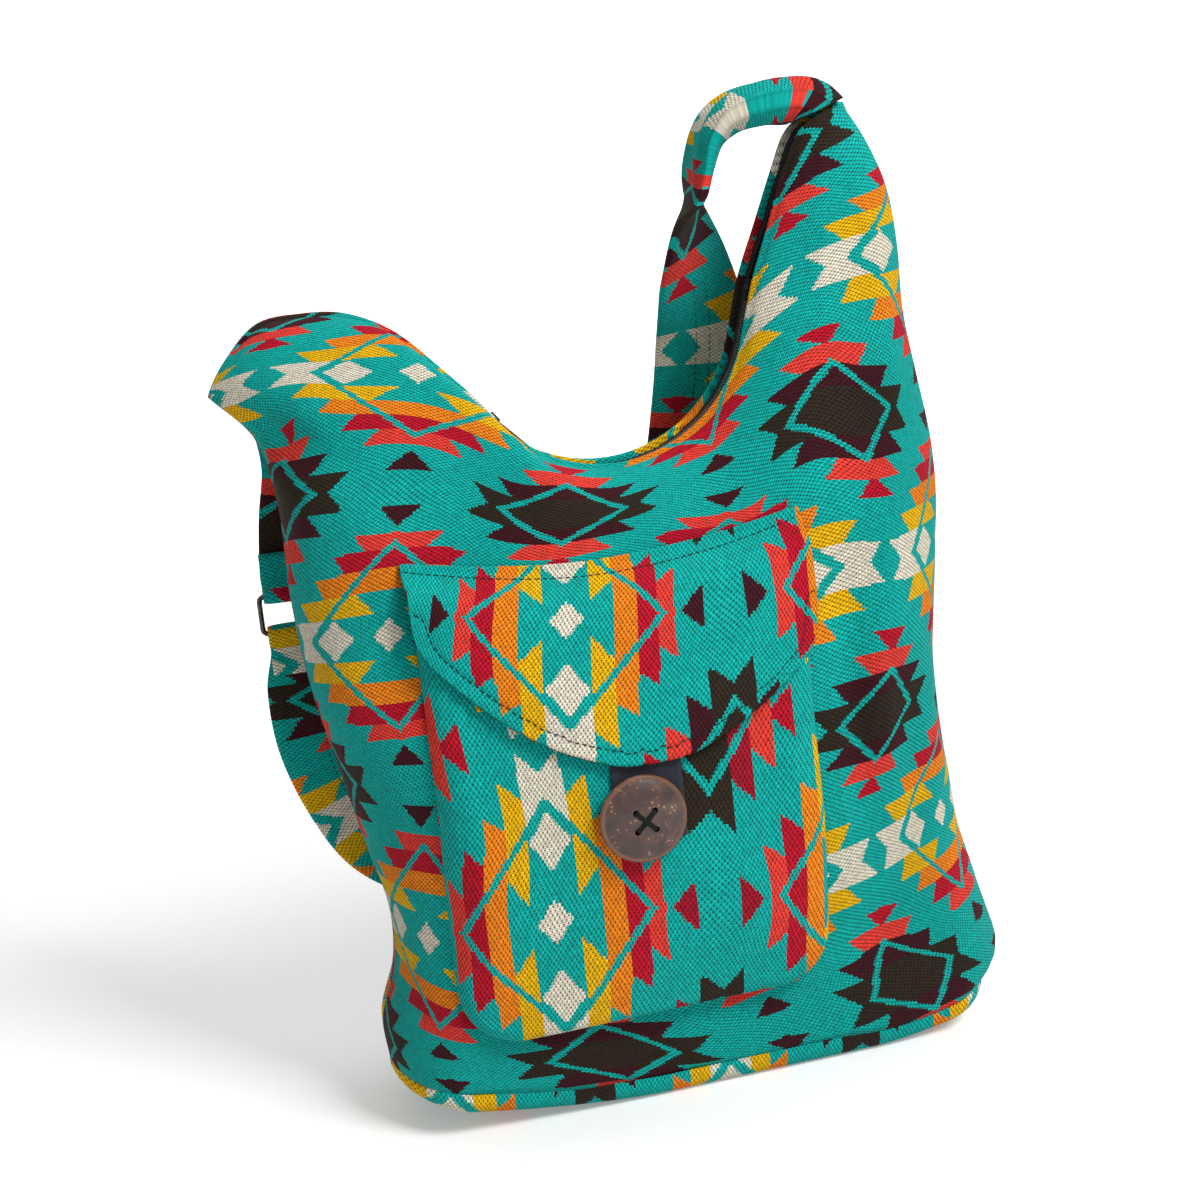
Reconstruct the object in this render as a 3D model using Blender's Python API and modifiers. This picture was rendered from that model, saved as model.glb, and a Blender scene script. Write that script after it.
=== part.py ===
"""Woven hobo shoulder bag: a slouchy body with two horns, a flapped and buttoned front pocket, a zipped mouth
and a strap that runs from the right horn over the top, down behind the bag and up to a ring on the left.

Metres, +Z up, the front faces -Y, the bag stands on its base at z = 0. All pieces are closed solids, and
pieces that are sewn together keep a small gap.
"""

import math

import bmesh
import bpy
import numpy as np
from mathutils import Matrix, Vector
from mathutils.bvhtree import BVHTree

MM = 0.001

# Cloth and clearances
FABRIC = 2.0 * MM
LINING = 0.8 * MM
STRAP_END_THICKNESS = 3.2 * MM
LAYER_GAP = 0.3 * MM
SEAM_HALF_GAP = 0.15 * MM
SEAM_STRIP = 2.5 * MM
RIM_STRIP = 5 * MM
MERGE = 0.01 * MM

# Body outline in the seam plane, millimetres (x, z), bottom to top
LEFT_SEAM = ((-184, 33), (-185, 58), (-175, 88), (-174, 122), (-182, 158), (-191, 204), (-200, 248),
             (-205, 300), (-205, 350), (-212, 386), (-233, 411))
RIGHT_SEAM = ((170, 27), (180, 43), (176, 62), (170, 82), (165, 101), (160, 122), (157, 147), (153, 176),
              (151, 204), (151, 232), (156, 272), (160, 312), (159, 346), (154, 380), (149, 414), (148, 450),
              (144, 481), (134, 507), (122, 528))
# Mouth rim (x, z, half gap) on either side of the zip's arc
RIM_LEFT = ((-233, 411, 0.2), (-221, 427, 0.2), (-203, 443.5, 0.2), (-180, 446, 0.3), (-158, 443.5, 2),
            (-136, 432.5, 5.5), (-114, 410.5, 9))
RIM_RIGHT = ((61.5, 440, 10), (73, 468, 9), (83.5, 494, 7.5), (94, 514, 9.5), (107, 522, 12), (122, 528, 2))

# Mouth arc, which the zip follows
ARC_CENTRE_X = -25 * MM
ARC_CENTRE_Z = 430 * MM
ARC_RADIUS = 80.5 * MM
ARC_START = math.radians(211)
ARC_END = math.radians(348)
RIM_HALF_GAP = 10 * MM
ARC_STEPS = 12
RIM_SAMPLES = 10
ARC_FIRST = len(RIM_LEFT) * RIM_SAMPLES
ARC_LAST = ARC_FIRST + ARC_STEPS * RIM_SAMPLES

# Depth of the body: half depth and the rounding at the side seams, by height
HALF_DEPTH = ((0, 50), (60, 57), (150, 63), (240, 60), (300, 50), (360, 38), (420, 27), (540, 15))
SIDE_ROUNDING = ((0, 34), (80, 46), (160, 58), (300, 55), (400, 36), (540, 20))
RIM_ROUNDING = ((0, 75), (380, 70), (450, 40), (540, 26))
COLUMNS = 24
ROWS = 13
LINING_COLUMNS = 18
LINING_ROWS = 9
LINING_INSET = 7.5 * MM
LINING_SIDE_INSET = 13 * MM
LINING_BELOW_RIM = 30 * MM

# Base: the cloth lies flat in the middle and lifts towards both ends
BASE_TURN_UP = 12 * MM
BASE_ROUNDING = 9 * MM
BASE_FLAT_HALF = 62 * MM
BASE_MIDDLE_X = 24 * MM

# Front pocket
POCKET_LEFT = -150 * MM
POCKET_RIGHT = 59 * MM
POCKET_BOTTOM = 56 * MM
POCKET_TOP = 303 * MM
POCKET_TOP_SAG = 12 * MM
POCKET_CORNER = 34 * MM
POCKET_EDGE_DEPTH = 9 * MM
POCKET_EDGE_ROUNDING = 7 * MM
POCKET_BULGE = 14 * MM
POCKET_RIM_SLACK = 3 * MM
POCKET_FOOT_GAP = 0.8 * MM
POCKET_ROWS = 12
POCKET_COLUMNS = 12

# Flap
FLAP_MIDDLE_X = -45 * MM
FLAP_HALF_WIDTH = 107 * MM
FLAP_SEWN_ABOVE = 16 * MM
FLAP_TIP_Z = 208 * MM
FLAP_CORNER_RISE = 70 * MM
FLAP_CURVE = 1.85
FLAP_FABRIC = 1.8 * MM
FLAP_LINING = 0.6 * MM
FLAP_ROWS = 9
FLAP_COLUMNS = 12

# Closure: tab, button and thread
BUTTON_X = -49 * MM
BUTTON_Z = 179 * MM
BUTTON_RADIUS = 23.5 * MM
BUTTON_RIM_THICKNESS = 3.2 * MM
BUTTON_DOME = 4.6 * MM
BUTTON_RIM = 2.4 * MM
BUTTON_HOLE_RADIUS = 1.7 * MM
BUTTON_HOLE_SPREAD = 4.6 * MM
HOLE_CUTTER_LENGTH = 40 * MM
THREAD_SIDES = 9
THREAD_RADIUS = 1.15 * MM
SHANK_RADIUS = 1.8 * MM
SHANK_DISC_RADIUS = 7 * MM
SHANK_DISC = 0.8 * MM
TAB_X = -44 * MM
TAB_WIDTH = 38 * MM
TAB_THICKNESS = 1.6 * MM
TAB_UNDER_FLAP = 14 * MM
TAB_BELOW_BUTTON = 14 * MM
TAB_SLIT = 4.8 * MM
TAB_SLIT_LENGTH = 24 * MM
FLAP_CLEARANCE = TAB_THICKNESS + 3 * LAYER_GAP

# Zip
TAPE_THICKNESS = 0.6 * MM
TAPE_INNER_EDGE = 1.0 * MM
COIL_WIDTH = 2.6 * MM
COIL_THICKNESS = 1.7 * MM
CHAIN_SLOT = 1.2 * MM
SLIDER_LENGTH = 10 * MM
SLIDER_PLATE = 1.0 * MM
SLIDER_CLEARANCE = 0.4 * MM
SLIDER_FLANGE = 0.9 * MM
BRIDGE_WIDTH = 2.2 * MM
BRIDGE_LENGTH = 6.4 * MM
BRIDGE_HEIGHT = 3.4 * MM
BRIDGE_BAR = 0.9 * MM
PULL_ROD_RADIUS = 0.65 * MM
PULL_WIDTH = 6.0 * MM
PULL_LENGTH = 26 * MM
PULL_THICKNESS = 1.2 * MM
PULL_LIFT = math.radians(6.5)
PULL_HOLE = 4.0 * MM
PULL_HOLE_FROM_END = 3.0 * MM
POST_FROM_END = 0.5 * MM
POST_LENGTH = 2.5 * MM
JOIN_OVERLAP = 0.2 * MM
# How many rim samples the tapes start before the arc and run up the horn, and where coils and stops are on them
TAPE_LEAD_SAMPLES = 4
HORN_SAMPLES = 10
COIL_LEAD_SAMPLES = 3
COIL_TAIL_SAMPLES = 4
STOP_SAMPLES = 2

# Straps and ring
STRAP_WIDTH = 56 * MM
RING_WIRE = 1.5 * MM
RING_OPENING = 11.5 * MM
RING_SIDE_ROOM = 1.0 * MM
RING_CORNER = 3.0 * MM
RING_X = -187 * MM
RING_Y = 60 * MM
RING_Z = 281 * MM
STRAP_TAIL = 24 * MM
# Where the strap's two layers meet beside the bar, and how far they part just next to it
LOOP_CLOSED = 13 * MM
LOOP_PARTING = 7 * MM
LOOP_PARTED = 0.7 * MM
STATION_STEP = 1.7 * MM

# Hand-chosen route of the long strap from the horn's top, millimetres:
# (x, y, z), the way its outer face looks (x, y, z), width, thickness
LONG_STRAP = (
    (106.4, 0, 524.3, 0.94, 0, 0.34, 27, 28),
    (101, 0.5, 529, 0.72, 0, 0.69, 31, 25),
    (93.5, 1.5, 531, 0.32, 0, 0.95, 36, 22.5),
    (77, 5, 531, -0.05, 0, 1, 40, 21),
    (61, 9, 527.5, -0.35, 0, 0.93, 38, 18),
    (50, 13, 518, -0.88, 0, 0.47, 35, 13),
    (45, 18, 503, -1, 0, 0.1, 35, 10),
    (42.5, 23, 489, -1, 0.15, 0, 40, 8.5),
    (39.5, 29, 474, -0.8, 0.6, 0, 47, 7.5),
    (44, 40, 444, -0.4, 0.9, 0, 54, 6),
    (50, 54, 408, 0, 1, 0, 55, 6),
    (48, 66, 366, 0, 1, 0, 56, 6),
    (39, 73, 318, 0, 1, 0, 56, 6),
    (18, 76, 262, 0, 1, 0, 56, 6),
    (-14, 77, 202, 0, 1, 0, 56, 6),
    (-50, 77, 152, 0, 1, 0, 56, 6),
    (-90, 77, 122, 0, 1, 0, 56, 6),
    (-128, 76, 118, 0, 1, 0, 56, 6),
    (-160, 73, 137, 0, 1, 0, 57, 6),
    (-178, 69, 168, 0, 1, 0, 57, 5),
    (-187.5, 65, 205, 0, 1, 0, 61, 4.5),
    (-187, 62.5, 237, 0, 1, 0, 65, 4),
)
# The short strap, from behind the folded left horn
SHORT_STRAP = (
    (-212, 23, 427, -0.1, 1, 0.15, 48, 3.2),
    (-199, 36, 414, 0, 1, 0.4, 50, 3.2),
    (-184, 46, 392, 0, 1, 0.2, 54, 3.2),
    (-179, 55, 362, 0, 1, 0, 56, 3.2),
    (-184, 62, 330, 0, 1, 0, 56, 3.2),
)


def colour(hex_rgb):
    """A linear colour from an sRGB hex value."""
    parts = [int(hex_rgb[i:i + 2], 16) / 255 for i in (0, 2, 4)]
    return [p / 12.92 if p <= 0.04045 else ((p + 0.055) / 1.055) ** 2.4 for p in parts] + [1.0]


def material(name, hex_rgb, roughness, metallic=0.0):
    """A plain Principled material."""
    mat = bpy.data.materials.new(name)
    mat.use_nodes = True
    shader = mat.node_tree.nodes["Principled BSDF"]
    shader.inputs["Base Color"].default_value = colour(hex_rgb)
    shader.inputs["Roughness"].default_value = roughness
    shader.inputs["Metallic"].default_value = metallic
    return mat


def clear_scene():
    for obj in list(bpy.data.objects):
        bpy.data.objects.remove(obj, do_unlink=True)


def knots(table, value):
    """A straight-line reading of a table of millimetre pairs, in metres."""
    xs = [row[0] * MM for row in table]
    ys = [row[1] * MM for row in table]
    return float(np.interp(value, xs, ys))


def smooth_curve(points, per_span=10):
    """Dense points on a Catmull-Rom curve through the given points."""
    p = np.array(points, float)
    p = np.vstack((2 * p[0] - p[1], p, 2 * p[-1] - p[-2]))
    out = []
    for a, b, c, d in zip(p, p[1:], p[2:], p[3:]):
        for k in range(per_span):
            t = k / per_span
            out.append(0.5 * (2 * b + (c - a) * t + (2 * a - 5 * b + 4 * c - d) * t * t
                              + (3 * b - a - 3 * c + d) * t ** 3))
    out.append(p[-2])
    return np.array(out)


class Track:
    """A dense curve read by its share of length, over its first `space` coordinates."""

    def __init__(self, points, space):
        self.points = np.array(points, float)
        steps = np.linalg.norm(np.diff(self.points[:, :space], axis=0), axis=1)
        self.lengths = np.concatenate(([0.0], np.cumsum(steps)))
        self.total = self.lengths[-1]

    def at(self, share):
        where = share * self.total
        return np.array([np.interp(where, self.lengths, column) for column in self.points.T])


def arc_point(angle, radius=ARC_RADIUS):
    return (ARC_CENTRE_X + radius * math.cos(angle), ARC_CENTRE_Z + radius * math.sin(angle))


def rim_track():
    """The mouth rim from the left horn's crest to the right horn's top: x, z and half gap."""
    left = [tuple(v * MM for v in p) for p in RIM_LEFT]
    angles = [ARC_START + (ARC_END - ARC_START) * k / ARC_STEPS for k in range(ARC_STEPS + 1)]
    arc = [(*arc_point(a), RIM_HALF_GAP) for a in angles]
    right = [tuple(v * MM for v in p) for p in RIM_RIGHT]
    dense = smooth_curve(left + arc + right, RIM_SAMPLES)
    for k in range(ARC_FIRST, ARC_LAST + 1):
        angle = ARC_START + (ARC_END - ARC_START) * (k - ARC_FIRST) / (ARC_LAST - ARC_FIRST)
        dense[k, :2] = arc_point(angle)
    return Track(dense, 2)


LEFT = Track(smooth_curve(LEFT_SEAM) * MM, 2)
RIGHT = Track(smooth_curve(RIGHT_SEAM) * MM, 2)
RIM = rim_track()


def foot_height(x):
    """Height of the base cloth above the floor: flat in the middle, lifted at the ends."""
    left_x, left_z = LEFT.at(0)
    right_x, right_z = RIGHT.at(0)
    end_x, end_z = (left_x, left_z) if x < BASE_MIDDLE_X else (right_x, right_z)
    reach = abs(end_x - BASE_MIDDLE_X) - BASE_FLAT_HALF
    out = max(0.0, abs(x - BASE_MIDDLE_X) - BASE_FLAT_HALF) / reach
    return (end_z - BASE_TURN_UP) * out ** 1.6


def bottom_point(u):
    x = LEFT.at(0)[0] * (1 - u) + RIGHT.at(0)[0] * u
    return np.array((x, foot_height(x) + BASE_TURN_UP))


def body_point(u, v):
    """A point of the panel's outline patch in the seam plane: u left to right, v bottom to top."""
    bottom = bottom_point(u)
    top = RIM.at(u)[:2]
    left = LEFT.at(v)
    right = RIGHT.at(v)
    corners = ((1 - u) * (1 - v) * LEFT.at(0) + u * (1 - v) * RIGHT.at(0)
               + (1 - u) * v * LEFT.at(1) + u * v * RIGHT.at(1))
    return (1 - v) * bottom + v * top + (1 - u) * left + u * right - corners


def swell(share):
    """A quarter-ellipse rise from 0 at a seam to 1."""
    return math.sqrt(max(0.0, 1 - (1 - min(share, 1.0)) ** 2))


def body_depth(u, v):
    """Half depth of the body at a patch point."""
    here = body_point(u, v)
    rounding = knots(SIDE_ROUNDING, here[1])
    to_left = np.linalg.norm(here - LEFT.at(v))
    to_right = np.linalg.norm(here - RIGHT.at(v))
    rim = RIM.at(u)
    to_rim = np.linalg.norm(here - rim[:2])
    full = knots(HALF_DEPTH, here[1])
    rise = swell(to_rim / knots(RIM_ROUNDING, here[1]))
    depth = rim[2] + max(0.0, full - rim[2]) * rise
    return depth * swell(to_left / rounding) * swell(to_right / rounding)


def eased(count):
    """Shares from 0 to 1, closer together at both ends."""
    return [0.5 - 0.5 * math.cos(math.pi * k / count) for k in range(count + 1)]


def spread(count, crowding=0.55):
    """Shares from 0 to 1, somewhat closer together at both ends."""
    return [crowding * e + (1 - crowding) * k / count for k, e in enumerate(eased(count))]


def lining_rows(side):
    """Rows of points of the lining, inside the panel on its side."""
    grid = []
    for level in [k / LINING_ROWS for k in range(LINING_ROWS + 1)]:
        row = []
        for share in spread(LINING_COLUMNS):
            width = np.linalg.norm(body_point(1, level) - body_point(0, level))
            u = LINING_SIDE_INSET / width + share * (1 - 2 * LINING_SIDE_INSET / width)
            length = np.linalg.norm(body_point(u, 1) - body_point(u, 0))
            v = level * (1 - LINING_BELOW_RIM / length)
            x, z = body_point(u, v)
            row.append(Vector((x, side * max(body_depth(u, v) - LINING_INSET, SEAM_STRIP), z)))
        grid.append(row)
    return grid


def body_rows(side, rows=ROWS, columns=COLUMNS, strips=True):
    """Rows of points of one panel, bottom to top. Side is -1 in front and 1 behind."""
    shares = spread(columns)
    grid = []
    levels = [1 - (1 - k / rows) ** 1.35 for k in range(rows + 1)]
    for level in levels:
        row = []
        for u in shares:
            x, z = body_point(u, level)
            depth = max(body_depth(u, level), SEAM_STRIP)
            row.append(Vector((x, side * depth, z)))
        grid.append(row)
    if strips:
        add_seam_strips(grid, side, shares)
    return grid


def add_seam_strips(grid, side, shares):
    """A narrow strip square to the seam along both sides and the rim, so that the panels meet face to face."""
    rim_edge = []
    for u, point in zip(shares, grid[-1]):
        gap = max(body_depth(u, 1.0), SEAM_HALF_GAP)
        point.y = side * (gap + RIM_STRIP)
        rim_edge.append(Vector((point.x, side * gap, point.z)))
    grid.append(rim_edge)
    for row in grid:
        row.insert(0, Vector((row[0].x, side * SEAM_HALF_GAP, row[0].z)))
        row.append(Vector((row[-1].x, side * SEAM_HALF_GAP, row[-1].z)))


def grid_object(name, grid, mat, flip=False, keep=None):
    """A mesh object from rows of points. keep(row, column) may leave cells out."""
    bm = bmesh.new()
    rows = [[bm.verts.new(p) for p in row] for row in grid]
    for r, (lower, upper) in enumerate(zip(rows, rows[1:])):
        for c in range(len(lower) - 1):
            if keep and not keep(r, c):
                continue
            corners = [lower[c], lower[c + 1], upper[c + 1], upper[c]]
            if flip:
                corners.reverse()
            bm.faces.new(corners)
    bmesh.ops.remove_doubles(bm, verts=bm.verts, dist=MERGE)
    return object_from(bm, name, mat)


def object_from(bm, name, mat):
    mesh = bpy.data.meshes.new(name)
    bm.to_mesh(mesh)
    bm.free()
    obj = bpy.data.objects.new(name, mesh)
    PARTS.objects.link(obj)
    mesh.materials.append(mat)
    mesh.shade_smooth()
    mesh.set_sharp_from_angle(angle=math.radians(40))
    return obj


def thicken(obj, thickness, depth_below=0.0):
    """Gives a surface its thickness on its inner side, below other layers where depth_below is set."""
    solid = obj.modifiers.new("thickness", "SOLIDIFY")
    solid.thickness = thickness
    solid.offset = -1 - 2 * depth_below / thickness
    solid.use_even_offset = True
    return obj


def body_panel(name, side, mat):
    obj = grid_object(name, body_rows(side), mat, flip=side > 0)
    return thicken(obj, FABRIC)


def plan_loop(columns=COLUMNS):
    """The base's outline seen from above: front from left to right, then back from right to left."""
    row = body_rows(-1, rows=1, columns=columns, strips=False)[0]
    front = [(p.x, p.y) for p in row]
    return front + [(x, -y) for x, y in reversed(front)]


def inset_loop(loop, amount):
    """The outline moved inwards, square to itself."""
    out = []
    for k, (x, y) in enumerate(loop):
        ax, ay = loop[k - 1]
        bx, by = loop[(k + 1) % len(loop)]
        way = Vector((bx - ax, by - ay)).normalized()
        out.append((x - way.y * amount, y + way.x * amount))
    return out


def base_rings(loop, start_below, lift=0.0):
    """Rings of the base tray, from its turned-up edge down to the flat bottom."""
    rings = []
    edge = [Vector((x, y, foot_height(x) + BASE_TURN_UP - start_below)) for x, y in loop]
    rings.append(edge)
    steps = 3
    for k in range(steps + 1):
        angle = math.pi / 2 * k / steps
        inset = BASE_ROUNDING * (1 - math.cos(angle))
        rise = lift + BASE_ROUNDING * (1 - math.sin(angle))
        moved = inset_loop(loop, inset)
        rings.append([Vector((mx, my, foot_height(x) + rise)) for (mx, my), (x, y) in zip(moved, loop)])
    return rings


def bridge_rings(bm, upper, lower):
    """Quads between two closed rings of vertices."""
    count = len(upper)
    for k in range(count):
        n = (k + 1) % count
        bm.faces.new((lower[k], lower[n], upper[n], upper[k]))


def fill_across(bm, ring, divisions=3):
    """Fills the bottom ring with strips from the front half to the back half."""
    half = len(ring) // 2
    lines = []
    for k in range(half):
        front, back = ring[k], ring[len(ring) - 1 - k]
        inner = range(1, divisions) if 0 < k < half - 1 else ()
        lines.append([front] + [bm.verts.new(front.co.lerp(back.co, d / divisions)) for d in inner] + [back])
    for a, b in zip(lines, lines[1:]):
        if len(a) != len(b):
            bm.faces.new(a + list(reversed(b)))
            continue
        for k in range(divisions):
            bm.faces.new((a[k], a[k + 1], b[k + 1], b[k]))


def base_panel(mat):
    bm = bmesh.new()
    rings = [[bm.verts.new(p) for p in ring] for ring in base_rings(plan_loop(), LAYER_GAP)]
    for upper, lower in zip(rings, rings[1:]):
        bridge_rings(bm, upper, lower)
    fill_across(bm, rings[-1])
    bmesh.ops.recalc_face_normals(bm, faces=bm.faces)
    obj = object_from(bm, "base_panel", mat)
    face_down(obj)
    return thicken(obj, FABRIC)


def face_down(obj):
    """Turns an open tray's faces so that its flat bottom looks down."""
    mesh = obj.data
    lowest = min(mesh.polygons, key=lambda p: p.center.z)
    if lowest.normal.z > 0:
        mesh.flip_normals()


def lining_pouch(mat):
    """One lining bag inside the body and base, open at the mouth below the zip's tapes."""
    bm = bmesh.new()
    rings = [f + list(reversed(b)) for f, b in zip(lining_rows(-1), lining_rows(1))]
    loop = [(p.x, p.y) for p in rings[0]]
    rings = list(reversed(rings[1:])) + base_rings(loop, 0.0, LINING_INSET)[1:]
    rings = [[bm.verts.new(p) for p in ring] for ring in rings]
    for upper, lower in zip(rings, rings[1:]):
        bridge_rings(bm, upper, lower)
    fill_across(bm, rings[-1])
    bmesh.ops.recalc_face_normals(bm, faces=bm.faces)
    obj = object_from(bm, "lining", mat)
    face_down(obj)
    return thicken(obj, LINING)


def surface_of(*objects):
    """A tree of the objects' finished surfaces, which later layers are laid on."""
    verts, faces = [], []
    depsgraph = bpy.context.evaluated_depsgraph_get()
    for obj in objects:
        mesh = obj.evaluated_get(depsgraph).to_mesh()
        first = len(verts)
        verts += [obj.matrix_world @ v.co for v in mesh.vertices]
        faces += [[first + i for i in p.vertices] for p in mesh.polygons]
    return BVHTree.FromPolygons(verts, faces)


def front_y(tree, x, z, reach=0.0):
    """Where a line from the front meets the surface, at its foremost within reach."""
    found = []
    for dx, dz in ((0, 0), (reach, 0), (-reach, 0), (0, reach), (0, -reach)):
        hit = tree.ray_cast(Vector((x + dx, -1, z + dz)), Vector((0, 1, 0)))[0]
        if hit:
            found.append(hit.y)
    return min(found) if found else 0.0


def pocket_top(x):
    middle = (POCKET_LEFT + POCKET_RIGHT) / 2
    across = (x - middle) / ((POCKET_RIGHT - POCKET_LEFT) / 2)
    return POCKET_TOP - POCKET_TOP_SAG * max(0.0, 1 - across ** 2)


def pocket_span(z):
    """The pocket's left and right edge at a height, rounded at the bottom corners."""
    below = POCKET_CORNER - (z - POCKET_BOTTOM)
    cut = 0.0
    if below > 0:
        cut = POCKET_CORNER - math.sqrt(max(0.0, POCKET_CORNER ** 2 - below ** 2))
    return POCKET_LEFT + cut, POCKET_RIGHT - cut


def pocket_inside_edge(x, z):
    """Distance from the pocket's sewn outline."""
    low_z = POCKET_BOTTOM + POCKET_CORNER
    for corner_x, way in ((POCKET_LEFT + POCKET_CORNER, -1), (POCKET_RIGHT - POCKET_CORNER, 1)):
        if z < low_z and (x - corner_x) * way > 0:
            return max(0.0, POCKET_CORNER - math.hypot(x - corner_x, z - low_z))
    return max(0.0, min(x - POCKET_LEFT, POCKET_RIGHT - x, z - POCKET_BOTTOM))


def pocket_bulge(x, z):
    """How far the pocket's middle swells beyond its edge depth."""
    middle = (POCKET_LEFT + POCKET_RIGHT) / 2
    across = min(1.0, abs(x - middle) / ((POCKET_RIGHT - POCKET_LEFT) / 2))
    up = min(1.0, max(0.0, (z - POCKET_BOTTOM) / (pocket_top(x) - POCKET_BOTTOM)))
    side_share = 1 - across ** 2.4
    return side_share * (POCKET_BULGE * (4 * up * (1 - up)) ** 0.75 + POCKET_RIM_SLACK * up)


def pocket_stand(x, z):
    """Height of the pocket's outer face above the body."""
    edge = POCKET_EDGE_DEPTH * swell(pocket_inside_edge(x, z) / POCKET_EDGE_ROUNDING)
    return max(edge + pocket_bulge(x, z), POCKET_FOOT_GAP + SEAM_STRIP)


def pocket_rows(body):
    """Rows of the pocket's outer face, with a foot strip along its sewn edge."""
    rows = []
    for level in [(k / POCKET_ROWS) ** 1.3 for k in range(POCKET_ROWS + 1)]:
        row = []
        for share in eased(POCKET_COLUMNS):
            z = POCKET_BOTTOM + level * (POCKET_TOP - POCKET_BOTTOM)
            left, right = pocket_span(z)
            x = left + (right - left) * share
            z = POCKET_BOTTOM + level * (pocket_top(x) - POCKET_BOTTOM)
            row.append(Vector((x, front_y(body, x, z, FABRIC) - pocket_stand(x, z), z)))
        rows.append(row)
    reach = FABRIC + LINING + 2 * LAYER_GAP
    foot = [Vector((p.x, front_y(body, p.x, p.z, reach) - POCKET_FOOT_GAP, p.z)) for p in rows[0]]
    rows.insert(0, foot)
    for row in rows:
        for end, place in ((0, 0), (-1, len(row) + 1)):
            p = row[end]
            row.insert(place, Vector((p.x, front_y(body, p.x, p.z, reach) - POCKET_FOOT_GAP, p.z)))
    return rows


def flap_point(body, across, down):
    """A point of the flap's outer face: across from -1 to 1, down from 0 at the seam to 1 at the edge."""
    x = FLAP_MIDDLE_X + across * FLAP_HALF_WIDTH
    top = pocket_top(x) + FLAP_SEWN_ABOVE
    tip = FLAP_TIP_Z + FLAP_CORNER_RISE * abs(across) ** FLAP_CURVE
    z = top + (tip - top) * down
    ramp = min(1.0, (top - z) / FLAP_SEWN_ABOVE)
    ramp = ramp * ramp * (3 - 2 * ramp)
    lift = POCKET_EDGE_DEPTH + pocket_bulge(x, z) + FLAP_CLEARANCE
    layers = FLAP_FABRIC + FLAP_LINING + 2 * LAYER_GAP
    return Vector((x, front_y(body, x, z) - layers - POCKET_FOOT_GAP - ramp * lift, z))


def flap_rows(body):
    shares = [2 * s - 1 for s in eased(FLAP_COLUMNS)]
    return [[flap_point(body, a, k / FLAP_ROWS) for a in shares] for k in range(FLAP_ROWS, -1, -1)]


def closure_tab(pocket_surface, mat):
    """Tab from under the flap's tip to behind the button, with its buttonhole slit."""
    half = TAB_WIDTH / 2
    xs = [-half, -half * 0.6, -TAB_SLIT / 2, TAB_SLIT / 2, half * 0.6, half]
    slit_x = BUTTON_X - TAB_X
    xs = [x + (slit_x if 0 < k < 5 else 0) for k, x in enumerate(xs)]
    bottom = BUTTON_Z - TAB_BELOW_BUTTON
    top = FLAP_TIP_Z + TAB_UNDER_FLAP
    slit_low = BUTTON_Z - TAB_SLIT_LENGTH * 0.4
    slit_high = slit_low + TAB_SLIT_LENGTH
    zs = [bottom, slit_low, BUTTON_Z, slit_high, slit_high + (top - slit_high) / 2, top]
    out = LAYER_GAP * 2 + TAB_THICKNESS
    rows = [[Vector((TAB_X + x, front_y(pocket_surface, TAB_X + x, z) - out, z)) for x in xs] for z in zs]
    obj = grid_object("closure_tab", rows, mat, keep=lambda r, c: not (c == 2 and r in (1, 2)))
    return thicken(obj, TAB_THICKNESS)


def button_place(pocket_surface):
    """Where the button's back sits and the way it looks, from the cloth under it."""
    reach = BUTTON_RADIUS * 0.8
    spots = [(BUTTON_X + dx, BUTTON_Z + dz) for dx, dz in ((-reach, 0), (reach, 0), (0, -reach), (0, reach))]
    left, right, low, high = [Vector((x, front_y(pocket_surface, x, z), z)) for x, z in spots]
    normal = (right - left).cross(high - low).normalized()
    middle = Vector((BUTTON_X, front_y(pocket_surface, BUTTON_X, BUTTON_Z), BUTTON_Z))
    heights = [0.0]
    for k in range(12):
        angle = math.tau * k / 12
        x = BUTTON_X + BUTTON_RADIUS * math.cos(angle)
        z = BUTTON_Z + BUTTON_RADIUS * math.sin(angle)
        heights.append((Vector((x, front_y(pocket_surface, x, z), z)) - middle).dot(normal))
    stack = TAB_THICKNESS + SHANK_DISC + 4 * LAYER_GAP
    back = middle + normal * (max(heights) + stack)
    frame = normal.to_track_quat("Z", "Y").to_matrix().to_4x4()
    return Matrix.Translation(back) @ frame, (back - middle).length


def button_face(radius):
    """Height of the button's domed front over its back."""
    share = min(1.0, radius / (BUTTON_RADIUS - BUTTON_RIM))
    return BUTTON_RIM_THICKNESS + BUTTON_DOME * (1 - share ** 2.2)


def turned(name, profile, mat, steps, place):
    """A turned solid from a profile listed from the top of the axis down its outer side."""
    bm = bmesh.new()
    verts = [bm.verts.new((r, 0, z)) for r, z in profile]
    for a, b in zip(verts, verts[1:]):
        bm.edges.new((a, b))
    obj = object_from(bm, name, mat)
    screw = obj.modifiers.new("turn", "SCREW")
    screw.steps = screw.render_steps = steps
    screw.use_merge_vertices = True
    screw.merge_threshold = 0.05 * MM
    obj.matrix_world = place
    return obj


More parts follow.
